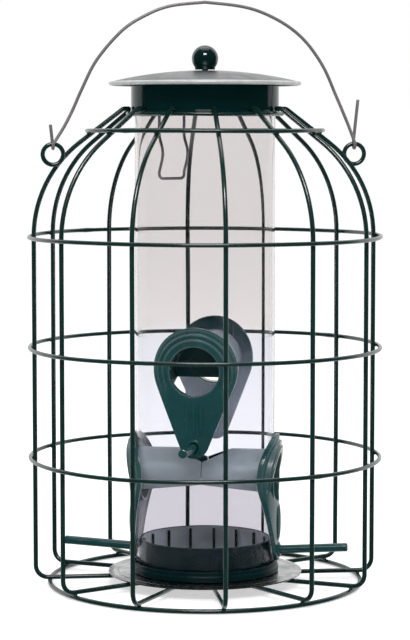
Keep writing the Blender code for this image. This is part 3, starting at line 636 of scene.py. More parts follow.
@shader_group(
    "Feeder tube haze",
    {
        "Top": (0.7, 0.7, 0.7, 1.0), "Middle": (0.8, 0.8, 0.8, 1.0), "Low": (0.7, 0.7, 0.7, 1.0),
        "Upper border": 0.1255, "Lower border": 0.0560, "Softness": 0.0060,
    },
    ("Colour",),
)
def tube_haze(tree, given):
    """Tint of the clear tube: three tones one over the other, with soft and slightly uneven borders; the
    darker top and low tones are painted shade.
    """
    place = object_place(tree)
    split = add_node(tree, "ShaderNodeSeparateXYZ", {0: place})
    cloud = noise_at(tree, place, 28.0, 3.0)["Fac"]
    lift = arithmetic(tree, "MULTIPLY_ADD", cloud, 0.006, split.outputs["Z"])
    tone = given["Low"]
    for border, above in (("Lower border", "Middle"), ("Upper border", "Top")):
        edge = arithmetic(tree, "ADD", given[border], given["Softness"])
        share = mapped(tree, lift, given[border], edge, interpolation_type="SMOOTHSTEP")
        tone = mixed_colour(tree, share, tone, given[above])
    return (tone,)


def new_material(name):
    """A new node material, its node tree and its Principled shader."""
    material = bpy.data.materials.new(name)
    material.use_nodes = True
    tree = material.node_tree
    return material, tree, tree.nodes["Principled BSDF"]


def use_group(tree, group, inputs):
    """Places a shared group in a material with its own values; returns its outputs."""
    return add_node(tree, "ShaderNodeGroup", inputs, node_tree=group).outputs


def relief_normal(tree, height, strength, distance):
    """The normal of a surface with a height on it."""
    inputs = {"Height": height, "Strength": strength, "Distance": distance}
    return add_node(tree, "ShaderNodeBump", inputs).outputs["Normal"]


def coated_finish(
    name, tint, peel, wave, gloss, dust, change, cloud, dust_tone, relief, shine, bloomed=False
):
    """A gloss coat or a moulded skin: colour, patches of gloss, peel and a trace of dust, with painted light
    mixed in where a moulded piece's mesh marks it.
    """
    if name in bpy.data.materials:
        return bpy.data.materials[name]
    material, tree, shader = new_material(name)
    skin = use_group(tree, coat_skin(), {
        "Peel scale": peel, "Wave scale": wave, "Gloss low": gloss[0], "Gloss high": gloss[1],
    })
    look = use_group(tree, dusted_colour(), {
        "Colour": paint(tint), "Dust": dust, "Change": change, "Scale": cloud,
        "Dust colour": (*dust_tone, 1.0),
    })
    tone, roughness = look["Colour"], skin["Roughness"]
    # Painted light: a pale colour mixed in by the mesh's mark, standing for the light and reflections the
    # moulded faces catch.
    if bloomed:
        bloom = {"Bloom colour": paint("bloom"), "Colour": tone, "Roughness": roughness}
        look = use_group(tree, bloomed_skin(), bloom)
        tone, roughness = look["Colour"], look["Roughness"]
    normal = relief_normal(tree, skin["Height"], relief, COAT_RELIEF)
    fill_inputs(tree, shader, {
        "Base Color": tone, "Roughness": roughness, "Normal": normal, "Specular IOR Level": shine,
    })
    return material


def metal_finish(name, tint, shares, blotch, crystal, crystals, gloss, relief, metallic=1.0):
    """Bare or galvanised metal with blotches, crystals and uneven gloss; shares are its two tones."""
    if name in bpy.data.materials:
        return bpy.data.materials[name]
    material, tree, shader = new_material(name)
    look = use_group(tree, metal_skin(), {
        "Bright": paint(tint, shares[0]), "Dull": paint(tint, shares[1]), "Blotch scale": blotch,
        "Crystal scale": crystal, "Crystals": crystals, "Gloss low": gloss[0], "Gloss high": gloss[1],
    })
    normal = relief_normal(tree, look["Height"], *relief)
    fill_inputs(tree, shader, {
        "Base Color": look["Colour"], "Roughness": look["Roughness"], "Normal": normal, "Metallic": metallic,
    })
    return material


def enamel():
    """The gloss coat on the cage wires."""
    return coated_finish(
        "Gloss enamel", "enamel", peel=900.0, wave=110.0, gloss=(0.16, 0.28), dust=0.10, change=0.45,
        cloud=70.0, dust_tone=(0.10, 0.13, 0.12), relief=0.10, shine=1.0,
    )


def band_enamel():
    """The smoother coat on the neck collar."""
    return coated_finish(
        "Smooth enamel", "enamel_band", peel=500.0, wave=45.0, gloss=(0.05, 0.13), dust=0.05, change=0.30,
        cloud=40.0, dust_tone=(0.10, 0.13, 0.12), relief=0.12, shine=0.16,
    )


def knob_enamel():
    """The thick gloss coat on the ball knob."""
    return coated_finish(
        "Knob enamel", "enamel_band", peel=500.0, wave=70.0, gloss=(0.06, 0.12), dust=0.05, change=0.30,
        cloud=90.0, dust_tone=(0.10, 0.13, 0.12), relief=0.10, shine=0.80,
    )


def moulded_plastic():
    """The satin plastic of the ports and perches."""
    return coated_finish(
        "Moulded plastic", "moulded", peel=1600.0, wave=140.0, gloss=(0.15, 0.30), dust=0.06, change=0.35,
        cloud=55.0, dust_tone=(0.14, 0.18, 0.17), relief=0.14, shine=0.55, bloomed=True,
    )


def cup_plastic():
    """The darker plastic of the cup and the lid's insert."""
    return coated_finish(
        "Cup plastic", "cup", peel=1600.0, wave=90.0, gloss=(0.18, 0.40), dust=0.06, change=0.35,
        cloud=45.0, dust_tone=(0.16, 0.17, 0.16), relief=0.18, shine=0.14, bloomed=True,
    )


def lid_sheet():
    """The galvanised sheet of the lid, dulled by weather."""
    return metal_finish(
        "Lid sheet", "zinc", (1.0, 0.72), blotch=60.0, crystal=230.0, crystals=0.35, gloss=(0.26, 0.42),
        relief=(0.22, 0.00010),
    )


def rim_sheet():
    """The lid's rolled rim, painted bright as its highlight."""
    return metal_finish(
        "Rim sheet", "rim", (1.0, 0.70), blotch=90.0, crystal=230.0, crystals=0.30, gloss=(0.30, 0.45),
        relief=(0.15, 0.00008), metallic=0.25,
    )


def plate_sheet():
    """The brighter galvanised sheet of the bottom plate, with its crystals."""
    return metal_finish(
        "Plate sheet", "plate", (1.0, 0.55), blotch=110.0, crystal=260.0, crystals=0.5, gloss=(0.16, 0.34),
        relief=(0.30, 0.00012),
    )


def bare_wire():
    """Drawn steel wire that has gone brown-grey."""
    return metal_finish(
        "Bare wire", "bare_wire", (1.1, 0.88), blotch=90.0, crystal=900.0, crystals=0.10, gloss=(0.30, 0.42),
        relief=(0.25, 0.00006), metallic=0.3,
    )


def screw_steel():
    """Plated steel of the screws and the nut."""
    return metal_finish(
        "Screw steel", "steel", (1.0, 0.6), blotch=500.0, crystal=1200.0, crystals=0.3, gloss=(0.20, 0.42),
        relief=(0.20, 0.00005),
    )


def clear_plastic():
    """The clear tube: tinted by height with painted shade at the top and over the cup, and with slow waves
    from its extrusion.
    """
    name = "Clear plastic"
    if name in bpy.data.materials:
        return bpy.data.materials[name]
    material, tree, shader = new_material(name)
    skin = use_group(
        tree, coat_skin(), {"Peel scale": 260.0, "Wave scale": 26.0, "Gloss low": 0.010, "Gloss high": 0.035}
    )
    tones = {"Top": paint("tube"), "Middle": paint("tube_middle"), "Low": paint("tube_low")}
    fill_inputs(tree, shader, {
        "Base Color": use_group(tree, tube_haze(), tones)["Colour"], "Roughness": skin["Roughness"],
        "Normal": relief_normal(tree, skin["Height"], 0.04, 0.00008), "Transmission Weight": 1.0, "IOR": 1.16,
    })
    see = add_node(tree, "ShaderNodeBsdfTransparent", {"Color": paint("tube_middle")})
    path = add_node(tree, "ShaderNodeLightPath").outputs
    soft_light = arithmetic(tree, "MAXIMUM", path["Is Shadow Ray"], path["Is Diffuse Ray"])
    mix = add_node(
        tree, "ShaderNodeMixShader", {"Fac": soft_light, 1: shader.outputs["BSDF"], 2: see.outputs["BSDF"]}
    )
    fill_inputs(tree, tree.nodes["Material Output"], {"Surface": mix.outputs[0]})
    return material


def background_rays(tree):
    """1 for the rays that see the plain background: the camera's, gloss and what goes through the tube."""
    path = add_node(tree, "ShaderNodeLightPath").outputs
    direct = arithmetic(tree, "MAXIMUM", path["Is Camera Ray"], path["Is Glossy Ray"])
    return arithmetic(tree, "MAXIMUM", direct, path["Is Transmission Ray"])


class FEEDER_OT_stage(bpy.types.Operator):
    """Set up the pale floor, the soft lamps, the world and the camera"""
    bl_idname = "feeder.stage"
    bl_label = "Stage"
    floor_gap, floor_half, floor_glow = 0.0002, 100.0, 0.50
    lamp_aim_height, world_strength = 0.14, 0.62

    def execute(self, context):
        scene = bpy.context.scene
        scene.view_settings.view_transform = "Standard"
        self.add_camera(scene)
        self.add_world(scene)
        self.add_floor()
        self.add_curtain()
        side = math.radians(98)
        for name, turn, away, height, wide, tall, power, glossy in (
            ("key_lamp", 0.0, 1.22, 1.22, 0.70, 0.36, 12.5, True),
            ("left_lamp", -side, 1.45, 0.75, 0.45, 1.1, 4.2, False),
            ("right_lamp", side, 1.45, 0.75, 0.45, 1.1, 4.2, False),
            ("top_lamp", math.pi, 0.25, 1.5, 1.1, 1.1, 4.0, True),
        ):
            place = radial(away, settings("view").azimuth + turn, height)
            self.add_lamp(name, place, wide, tall, power, glossy)
        return {"FINISHED"}

    def add_camera(self, scene):
        view = settings("view")
        camera = show("camera", bpy.data.cameras.new("camera"))
        camera.location = radial(view.distance, view.azimuth, view.eye_height)
        aim = Vector((0.0, 0.0, view.aim_height)) - camera.location
        camera.rotation_euler = aim.to_track_quat("-Z", "Y").to_euler()
        camera.data.lens = view.lens
        camera.data.sensor_width = 36.0
        camera.data.sensor_fit = "AUTO"
        camera.data.clip_start = 0.01
        camera.data.clip_end = 50.0
        scene.camera = camera

    def add_world(self, scene):
        world = bpy.data.worlds.new("feeder_world")
        world.use_nodes = True
        tree = world.node_tree
        tree.nodes.clear()
        inputs = {"Color": (1.0, 1.0, 1.0, 1.0), "Strength": self.world_strength}
        plain = add_node(tree, "ShaderNodeBackground", inputs)
        white = add_node(tree, "ShaderNodeBackground", {"Color": paint("backdrop"), "Strength": 1.0})
        share = background_rays(tree)
        mix = add_node(tree, "ShaderNodeMixShader", {"Fac": share, 1: plain.outputs[0], 2: white.outputs[0]})
        add_node(tree, "ShaderNodeOutputWorld", {"Surface": mix.outputs[0]})
        scene.world = world

    def add_floor(self):
        """The pale floor, which glows for the camera so that it ends without a line."""
        shape = bmesh.new()
        bmesh.ops.create_grid(shape, x_segments=1, y_segments=1, size=self.floor_half)
        material, tree, shader = new_material("Pale floor")
        plain = {"Base Color": paint("backdrop", 0.80), "Roughness": 0.9, "Specular IOR Level": 0.1}
        fill_inputs(tree, shader, plain)
        strength = arithmetic(tree, "MULTIPLY", background_rays(tree), self.floor_glow)
        glow = add_node(tree, "ShaderNodeEmission", {"Color": paint("backdrop"), "Strength": strength})
        both = add_node(tree, "ShaderNodeAddShader", {0: shader.outputs["BSDF"], 1: glow.outputs[0]})
        fill_inputs(tree, tree.nodes["Material Output"], {"Surface": both.outputs[0]})
        floor = show("floor", mesh_of("floor", shape))
        floor.data.materials.append(material)
        floor.location.z = -self.floor_gap
        floor.visible_glossy = False

    def add_curtain(self):
        """The dark side of the studio behind the camera, which only gloss shows."""
        outline = ((0.3, -2.4), (2.4, -2.4), (2.4, 1.8), (1.9, 2.6), (0.9, 3.1), (0.2, 3.2))
        spread, steps = math.radians(114), 24
        shape = bmesh.new()
        rings = []
        for step in range(steps + 1):
            azimuth = settings("view").azimuth + spread * (2 * step / steps - 1)
            rings.append([shape.verts.new(radial(away, azimuth, height)) for away, height in outline])
        for first, second in zip(rings, rings[1:]):
            for low in range(len(outline) - 1):
                shape.faces.new((first[low], second[low], second[low + 1], first[low + 1]))
        material, tree, shader = new_material("Dark curtain")
        fill_inputs(tree, shader, {"Base Color": (0.02, 0.02, 0.02, 1.0), "Roughness": 1.0})
        curtain = show("curtain", mesh_of("curtain", shape))
        curtain.data.materials.append(material)
        curtain.visible_camera = False
        curtain.visible_diffuse = False
        curtain.visible_transmission = False
        curtain.visible_shadow = False

    def add_lamp(self, name, place, wide, tall, power, glossy):
        lamp = show(name, bpy.data.lights.new(name, "AREA"))
        lamp.data.shape = "RECTANGLE"
        lamp.data.size = wide
        lamp.data.size_y = tall
        lamp.data.energy = power
        lamp.location = place
        aim = Vector((0.0, 0.0, self.lamp_aim_height)) - place
        lamp.rotation_euler = aim.to_track_quat("-Z", "Y").to_euler()
        lamp.visible_glossy = glossy


def rib_azimuth(index):
    """The direction of a rib from the axis."""
    return FIRST_RIB + 2 * math.pi * index / RIB_COUNT


def rib_path(sway):
    """A rib's middle line in its own plane; sway bows the upright to the side."""
    cage = settings("cage")
    floor = level("base_hoop", 1) + cage.rib_wire / 2 + CLEARANCE
    low = floor + cage.corner
    flat = [(cage.spoke_start, floor), ((cage.spoke_start + cage.radius) / 2, floor)]
    flat += arc((cage.radius - cage.corner, low), cage.corner, -math.pi / 2, 0.0, 8)
    flat += [(cage.radius, low + (cage.spring - low) * step / 12) for step in range(1, 12)]
    flat += arc((cage.radius - cage.dome_bend, cage.spring), cage.dome_bend, 0.0, cage.dome_angle, 14)
    slope = math.pi / 2 - cage.dome_angle
    start_radius, start_height = flat[-1]
    meet = start_radius - (cage.rib_end - start_height) / math.tan(slope)
    bend_start = (meet - cage.end_bend * math.tan(slope / 2), cage.rib_end - cage.end_bend)
    flat += arc(bend_start, cage.end_bend, cage.dome_angle, math.pi / 2, 4)
    end_gap = 0.0002
    flat.append((settings("lid").collar_radius + end_gap, cage.rib_end))
    path = []
    for radius, height in flat:
        share = clamped((height - low) / (cage.spring - low))
        path.append(Vector((radius, sway * math.sin(math.pi * share) ** 2, height)))
    return path


class FEEDER_OT_ribs(bpy.types.Operator):
    """Bend the twelve ribs: spoke, corner, upright, dome and the end turned in to the neck"""
    bl_idname = "feeder.ribs"
    bl_label = "Ribs"

    def execute(self, context):
        cage = settings("cage")
        spread = random.Random(12)
        for index in range(RIB_COUNT):
            node = f"rib_{index + 1:02d}"
            path = rib_path(spread.uniform(-1.0, 1.0) * cage.sway)
            place = turn_to(rib_azimuth(index))
            bent_piece(f"cage_{node}", path, cage.rib_wire / 2, *coated(node), place=place, tip=0.35)
        return {"FINISHED"}


def ring_path(radius, height, count, wobble=0.0, seed=0):
    """Points on a level hoop, a little out of true."""
    points = []
    for step in range(count):
        angle = 2 * math.pi * step / count
        lift = wobble * math.sin(3 * angle + seed) + wobble * 0.6 * math.sin(5 * angle + 2.3 * seed)
        points.append(radial(radius, angle, height + lift))
    return points


def butt_weld(count, place, width, rise):
    """A share for each point of a hoop, with a swelling where its ends are welded."""
    shares = []
    for step in range(count):
        away = min(abs(step - place), count - abs(step - place)) / width
        shares.append(1 + rise * math.exp(-away * away))
    return shares


class FEEDER_OT_hoops(bpy.types.Operator):
    """Bend the hoops and weld each one's ends together"""
    bl_idname = "feeder.hoops"
    bl_label = "Hoops"

    def execute(self, context):
        cage = settings("cage")
        count, wobble, swell_room = 180, 0.00012, 0.0002
        first_seam, seam_step, seam_width, seam_rise = 23, 47, 1.1, 0.22
        for index, node in enumerate(HOOPS):
            radius = reach(node) - cage.hoop_wire / 2 - swell_room
            path = ring_path(radius, middle(node).z, count, wobble, index)
            weld = butt_weld(count, (first_seam + seam_step * index) % count, seam_width, seam_rise)
            bent_piece(f"cage_{node}", path, cage.hoop_wire / 2, *coated(node), closed=True, swell=weld)
        half = cage.base_wire / 2
        path = ring_path(reach("base_hoop") - half, half, count)
        bent_piece("cage_base_hoop", path, half, *coated("base_hoop"), closed=True)
        return {"FINISHED"}


class FEEDER_OT_welds(bpy.types.Operator):
    """Put a coated weld lump where a rib crosses a hoop or the base hoop"""
    bl_idname = "feeder.welds"
    bl_label = "Welds"

    def execute(self, context):
        for index, node in enumerate((*HOOPS[:4], "base_hoop")):
            shape = bmesh.new()
            for rib in range(RIB_COUNT):
                self.add_weld(shape, node, rib_azimuth(rib), index * RIB_COUNT + rib)
            finish_piece(f"welds_{node}", shape, *coated())
        return {"FINISHED"}

    def add_weld(self, shape, node, azimuth, seed):
        cage = settings("cage")
        turn = turn_to(azimuth)
        if node == "base_hoop":
            centre = radial(reach(node) - cage.base_wire / 2, azimuth, level(node, 1))
            shares = (1.0, 1.0, 0.62)
        elif node == "shoulder_hoop":
            lean = math.pi / 2 - cage.dome_angle
            hoop = Vector((reach(node) - cage.hoop_wire / 2, 0.0, middle(node).z))
            inward = Vector((-math.sin(lean), 0.0, -math.cos(lean))) * (cage.hoop_wire / 2)
            centre = turn @ (hoop + inward)
            shares = (0.8, 1.1, 1.0)
        else:
            centre = radial(reach(node) - cage.hoop_wire, azimuth, middle(node).z)
            shares = (0.65, 1.15, 1.05)
        add_lump(shape, centre, [cage.weld * share for share in shares], turn, seed)


class FEEDER_OT_ears(bpy.types.Operator):
    """Bend the two ear rings and weld each to the side of its rib"""
    bl_idname = "feeder.ears"
    bl_label = "Ears"

    def execute(self, context):
        cage = settings("cage")
        count, first_seed, seam, seam_width, seam_rise = 48, 71, 26, 1.2, 0.12
        half_gap = (cage.ear_wire + CLEARANCE) / 2
        weld_in, weld_down = cage.ear_radius * 0.93, cage.ear_radius * 0.42
        ring = [(x, 0.0, z) for x, z in arc((0.0, 0.0), cage.ear_radius, 0.0, 2 * math.pi, count)[:-1]]
        for index, node in enumerate(("ear_right", "ear_left")):
            azimuth, height = cage.ear_azimuth + math.pi * index, middle(node).z
            turn = turn_to(azimuth)
            shape = bmesh.new()
            swell = butt_weld(count, seam, seam_width, seam_rise)
            add_wire(shape, ring, cage.ear_wire / 2, closed=True, swell=swell)
            place = Matrix.Translation(radial(cage.ear_place, azimuth, height)) @ turn
            bmesh.ops.transform(shape, matrix=place, verts=shape.verts)
            inner = radial(cage.ear_place - weld_in, azimuth, height - weld_down)
            side = Matrix.Rotation(azimuth, 4, "Z") @ Vector((-half_gap, 0.0, 0.0))
            sizes = [cage.weld * share for share in (0.9, 1.1, 1.5)]
            add_lump(shape, inner + side, sizes, turn, first_seed + index)
            finish_piece(f"cage_{node}", shape, *coated(node))
        return {"FINISHED"}


class FEEDER_OT_bail(bpy.types.Operator):
    """Bend the carrying wire and hook its two ends through the ears"""
    bl_idname = "feeder.bail"
    bl_label = "Bail"
    arch_shares = (
        (-0.930, 0.118), (-0.872, 0.236), (-0.808, 0.391), (-0.711, 0.594), (-0.546, 0.799), (-0.389, 0.909),
        (-0.232, 0.974), (-0.030, 1.000), (0.030, 1.000), (0.241, 0.975), (0.398, 0.925), (0.557, 0.833),
        (0.682, 0.714), (0.793, 0.542), (0.871, 0.355), (0.950, 0.150),
    )
    tail_lean = math.radians(6)

    def execute(self, context):
        cage = settings("cage")
        hinge = next(joint for joint in frame["joints"] if joint["name"] == "bail_swing")
        hook = cage.ear_wire / 2 + CLEARANCE + cage.bail_wire / 2
        left = self.hook_points(-1, hook, cage.left_tail)
        right = self.hook_points(1, hook, cage.right_tail)
        crown = [Vector((x * cage.ear_place, 0.0, z * cage.bail_rise)) for x, z in self.arch_shares]
        for end in (crown[0], crown[-1]):
            end.y = -hook / 2
        arch = smooth_path([left[0], *crown, right[0]], 7)
        path = [*reversed(left), *arch[1:-1], *right]
        place = Matrix.Translation((0.0, 0.0, hinge["pos_m"][2])) @ turn_to(cage.ear_azimuth)
        bent_piece(
            "bail", path, cage.bail_wire / 2, bare_wire(), "bail", "bare_steel", "bail_wire",
            place=place, sides=12, tip=0.3,
        )
        return {"FINISHED"}

    def hook_points(self, side, hook, tail):
        """One end of the carrying wire, from the leg round the ear's top wire to the tail's tip."""
        away = side * settings("cage").ear_place
        turn = [Vector((away, y, z)) for y, z in arc((0.0, 0.0), hook, math.pi, 2 * math.pi, 14)]
        lean = Vector((side * math.sin(self.tail_lean), 0.0, math.cos(self.tail_lean)))
        return turn + [turn[-1] + lean * tail * step / 6 for step in range(1, 7)]


class FEEDER_OT_plate(bpy.types.Operator):
    """Press the round plate that lies on the spokes"""
    bl_idname = "feeder.plate"
    bl_label = "Plate"

    def execute(self, context):
        low, high = level("bottom_plate"), level("bottom_plate", 1)
        hole, radius = BASE_SCREW_HOLE, settings("tube").plate_radius
        bead_start, bead_low, bead_back, bead_end, bead_depth = 0.0052, 0.0046, 0.0034, 0.0028, 0.00018
        profile = [
            (hole, high), (radius - bead_start, high), (radius - bead_low, high - bead_depth),
            (radius - bead_back, high - bead_depth), (radius - bead_end, high), (radius, high), (radius, low),
            (radius - bead_end, low), (radius - bead_back, low), (hole, low),
        ]
        turned_piece(
            "plate", eased(profile, 0.0004, 2), 128, plate_sheet(), "cage", "galvanised_sheet", "bottom_plate"
        )
        return {"FINISHED"}


class FEEDER_OT_cup(bpy.types.Operator):
    """Mould the base cup: skirt, groove for the tube, ribbed collar and floor"""
    bl_idname = "feeder.cup"
    bl_label = "Base cup"

    def execute(self, context):
        tube = settings("tube")
        low, high = level("base_cup"), level("base_cup", 1)
        skirt_top, floor, hole = low + tube.cup_skirt, low + tube.cup_floor, BASE_SCREW_HOLE
        groove, groove_wall = skirt_top - tube.cup_groove, tube.tube_radius + CLEARANCE
        collar_wall, flare, flare_top, flare_full = 0.0014, 0.0004, 0.62, 0.5
        rib_count, rib_sunk, rib_below = 16, 0.0004, 0.0011
        inner = tube.tube_radius - tube.tube_wall - TUBE_FIT
        collar, outer = inner - collar_wall, tube.cup_radius
        step_top, step = low + tube.cup_skirt * flare_top, low + tube.cup_skirt * flare_full
        profile = [
            (outer, skirt_top), (outer, step_top), (outer + flare, step), (outer + flare, low), (hole, low),
            (hole, floor), (collar, floor), (collar, high), (inner, high), (inner, groove),
            (groove_wall, groove), (groove_wall, skirt_top),
        ]
        shape = bmesh.new()
        add_lathe(shape, eased(profile, 0.0006, 3), 144)
        for index in range(rib_count):
            self.add_rib(shape, 2 * math.pi * index / rib_count, collar, floor - rib_sunk, high - rib_below)
        piece = finish_piece("cup", shape, cup_plastic(), "cage", "green_plastic", "base_cup")

        def bloom_at(place):
            """Full painted light on the collar's inner wall, up to its edge."""
            inside, outside, edge = collar - 0.0006, collar + 0.0003, high - 0.0004
            return 1.0 if inside < math.hypot(place.x, place.y) < outside and place.z < edge else 0.0

        mark_bloom(piece.data, bloom_at)
        return {"FINISHED"}

    def add_rib(self, shape, azimuth, collar, low, high):
        """A rounded upright rib on the collar's inner wall."""
        half, depth, ease, top_ease, pull_in = 0.0006, 0.0012, 0.0004, 0.0006, 0.0005
        outline = [
            (collar + ease, -half), (collar - depth + ease, -half), (collar - depth, -half * 0.5),
            (collar - depth, half * 0.5), (collar - depth + ease, half), (collar + ease, half),
        ]
        turn = Matrix.Rotation(azimuth, 4, "Z")
        rings = []
        for height, pull in ((low, 0.0), (high - top_ease, 0.0), (high, pull_in)):
            rings.append([shape.verts.new(turn @ Vector((x + pull, y, height))) for x, y in outline])
        for first, second in zip(rings, rings[1:]):
            bridge(shape, first, second)
        close_ends(shape, rings[-1], rings[0])


def port_azimuth(side):
    """The direction of a port from the axis."""
    return SIDES.index(side) * math.pi / 2


def port_height(side):
    """The height of a port's hole, from the top of its CAD node."""
    return level(f"port_{side}", 1) - settings("tube").head_radius - PORT_HEAD_RISE


def port_place(side):
    """The move that takes what is made facing -Y, about its hole's middle, to a port's place."""
    return Matrix.Translation((0.0, 0.0, port_height(side))) @ Matrix.Rotation(port_azimuth(side), 4, "Z")


def perch_line():
    """The start of a perch at the tube's wall, and its direction, for the port facing -Y."""
    tube = settings("tube")
    axis = Vector((0.0, -math.cos(tube.perch_tilt), math.sin(tube.perch_tilt)))
    return Vector((0.0, -tube.tube_radius, -tube.perch_drop)), axis


class FEEDER_OT_tube(bpy.types.Operator):
    """Cut the clear tube and its four port holes"""
    bl_idname = "feeder.tube"
    bl_label = "Seed tube"

    def execute(self, context):
        tube = settings("tube")
        low, high = level("feed_tube"), level("feed_tube", 1)
        outer, inner = tube.tube_radius, tube.tube_radius - tube.tube_wall
        shape = bmesh.new()
        add_lathe(shape, eased([(outer, high), (outer, low), (inner, low), (inner, high)], 0.0002, 2), 160)
        bmesh.ops.recalc_face_normals(shape, faces=shape.faces)
        body = show("tube_body", mesh_of("tube_body", shape))
        overrun = 0.002
        hole, far = tube.hole_radius + tube.hood_wall + CLEARANCE, outer + overrun
        tools = []
        for name in SIDES[:2]:
            ends = [radial(away, port_azimuth(name), port_height(name)) for away in (far, -far)]
            tools.append(rod_tool(f"tube_hole_{name}", hole, *ends))
            combine(body, tools[-1], "DIFFERENCE")
        mesh = baked(body, tools)
        mesh.shade_smooth()
        mesh.set_sharp_from_angle(angle=SHARP_ANGLE)
        place_mesh("tube", mesh, clear_plastic(), "cage", "clear_plastic", "feed_tube")
        return {"FINISHED"}


class FEEDER_OT_ports(bpy.types.Operator):
    """Mould one port with its rain rings, inner hood and perch boss, and fit it four times"""
    bl_idname = "feeder.ports"
    bl_label = "Ports"
    hood_share = 0.40
    overrun, long_overrun = 0.002, 0.003
    boss_radius, boss_reach, socket_wall, socket_depth = 0.0036, 0.0033, 0.0009, 0.006
    face_gap, edge_gap, hood_gap = 0.0006, 0.0004, 0.0008
    # Shares of painted light: a painted highlight on the ring steps, pale painted light on the hood, and
    # painted light growing towards the bottom on the face against the tube.
    step_bloom, step_width, hood_bloom = 0.10, 0.0009, 0.52
    face_bloom_top, face_bloom_fall = 0.012, 0.034

    def execute(self, context):
        mesh = self.port_mesh()
        mark_bloom(mesh, self.bloom_at)
        for side in SIDES:
            own = mesh.copy()
            own.transform(port_place(side))
            place_mesh(f"moulded_port_{side}", own, *moulded(f"port_{side}"))
        return {"FINISHED"}

    def bloom_at(self, place):
        """Pale painted light on the hood, painted light that grows towards the bottom on the face against the
        tube and, thinly, a painted highlight where the rings step.
        """
        tube = settings("tube")
        away, ring = math.hypot(place.x, place.y), math.hypot(place.x, place.z)
        if away > tube.tube_radius + self.face_gap:
            steps = (tube.head_radius - self.edge_gap, tube.outer_visor, tube.inner_visor, tube.hole_radius)
            nearest = min(abs(ring - step) for step in steps)
            # The painted highlight on the ring steps is stronger towards the top.
            high_share = clamped(0.55 + 0.45 * place.z / tube.hole_radius)
            return self.step_bloom * high_share * max(1 - nearest / self.step_width, 0.0)
        if ring < tube.hole_radius + self.edge_gap:
            return 0.0
        hood_end = tube.hole_radius + tube.hood_wall + self.hood_gap
        if away > tube.tube_radius - tube.tube_wall and ring > hood_end:
            # Painted light on the face against the tube, growing towards the bottom.
            return clamped((self.face_bloom_top - place.z) / self.face_bloom_fall)
        return self.hood_bloom

    def port_mesh(self):
        """The port facing -Y with its hole's middle at the origin."""
        tube = settings("tube")
        bore = tube.tube_radius + CLEARANCE
        outer = bore + tube.port_plate
        top = (0.0, 0.0, tube.head_radius + self.long_overrun)
        bottom = (0.0, 0.0, -tube.tail_drop - tube.tail_radius - self.long_overrun)
        port = self.pattern()
        tools = []

        def shape_with(tool, operation, target=port):
            tools.append(tool)
            combine(target, tool, operation)

        shape_with(rod_tool("port_wrap", outer, bottom, top, 160), "INTERSECT")
        for name, radius, out in (
            ("visor_outer", tube.outer_visor, tube.tube_radius + tube.outer_visor_reach),
            ("visor_inner", tube.inner_visor, tube.tube_radius + tube.inner_visor_reach),
        ):
            seat = math.sqrt(outer ** 2 - radius ** 2) - tube.port_plate / 2
            ring = rod_tool(name, radius, (0.0, -seat, 0.0), (0.0, -out - self.overrun, 0.0), 96)
            low = (-tube.head_radius, -2 * out, -2 * tube.head_radius)
            high = (tube.head_radius, 0.0, 2 * tube.head_radius)
            slope = block_tool(f"{name}_slope", low, high, tube.visor_tilt, (0.0, -out, radius))
            shape_with(slope, "DIFFERENCE", ring)
            shape_with(ring, "UNION")
        start, axis = perch_line()
        shape_with(rod_tool("boss", self.boss_radius, start, start + axis * self.boss_reach, 40), "UNION")
        shape_with(rod_tool("tube_room", bore, bottom, top, 160), "DIFFERENCE")
        shape_with(self.hood(bore, tools), "UNION")
        past_rings = 0.0080
        far, end = tube.tube_radius + past_rings, -bore * self.hood_share
        for name, ends in (("hole", (-far, end - tube.hood_web)), ("hood_back", (end, self.overrun))):
            first, last = (Vector((0.0, y, 0.0)) for y in ends)
            shape_with(rod_tool(name, tube.hole_radius, first, last, 96), "DIFFERENCE")
        socket = start + axis * self.socket_wall
        socket_end = socket + axis * self.socket_depth
        shape_with(rod_tool("socket", tube.perch_radius + CLEARANCE, socket, socket_end, 32), "DIFFERENCE")
        return self.softened(baked(port, tools))

    def pattern(self):
        """A block with the port's teardrop outline: a round head, straight sides and a small round tail."""
        tube = settings("tube")
        head, tail, bottom = tube.head_radius, tube.tail_radius, -tube.tail_drop
        side = math.asin((head - tail) / (PORT_HEAD_RISE - bottom))
        teardrop = arc((0.0, PORT_HEAD_RISE), head, -side, math.pi + side, 56)
        teardrop += arc((0.0, bottom), tail, math.pi + side, 2 * math.pi - side, 26)
        back_share, spare = 0.5, 0.0023
        depths = (tube.tube_radius * back_share, tube.tube_radius + tube.port_plate + spare)
        shape = bmesh.new()
        rings = [[shape.verts.new((x, -depth, z)) for x, z in teardrop] for depth in depths]
        bridge(shape, *rings)
        close_ends(shape, rings[1], rings[0])
        bmesh.ops.recalc_face_normals(shape, faces=shape.faces)
        return show("port_pattern", mesh_of("port_pattern", shape))

    def hood(self, bore, tools):
        """The half pipe inside the tube that keeps seed off the hole."""
        tube = settings("tube")
        radius, inner = tube.hole_radius + tube.hood_wall, tube.tube_radius - tube.tube_wall
        start, end, axis_gap = bore + tube.port_plate / 2, -bore * self.hood_share, 0.00015
        hood = rod_tool("hood", radius, (0.0, -start, 0.0), (0.0, -axis_gap, 0.0), 96)
        wide = radius + self.overrun
        fall = -math.atan2(tube.hood_notch, -end)
        notch = block_tool("hood_notch", (-wide, 0.0, 0.0), (wide, bore, radius), fall, (0.0, end, radius))
        climb = math.atan2(tube.hood_edge_rise, inner)
        edge = (0.0, -math.sqrt(inner ** 2 - radius ** 2), -tube.hood_edge_drop)
        corners = (-wide, 0.0, -2 * radius), (wide, bore + self.overrun, 0.0)
        for tool in (notch, block_tool("hood_mouth", *corners, climb, edge)):
            tools.append(tool)
            combine(hood, tool, "DIFFERENCE")
        return hood

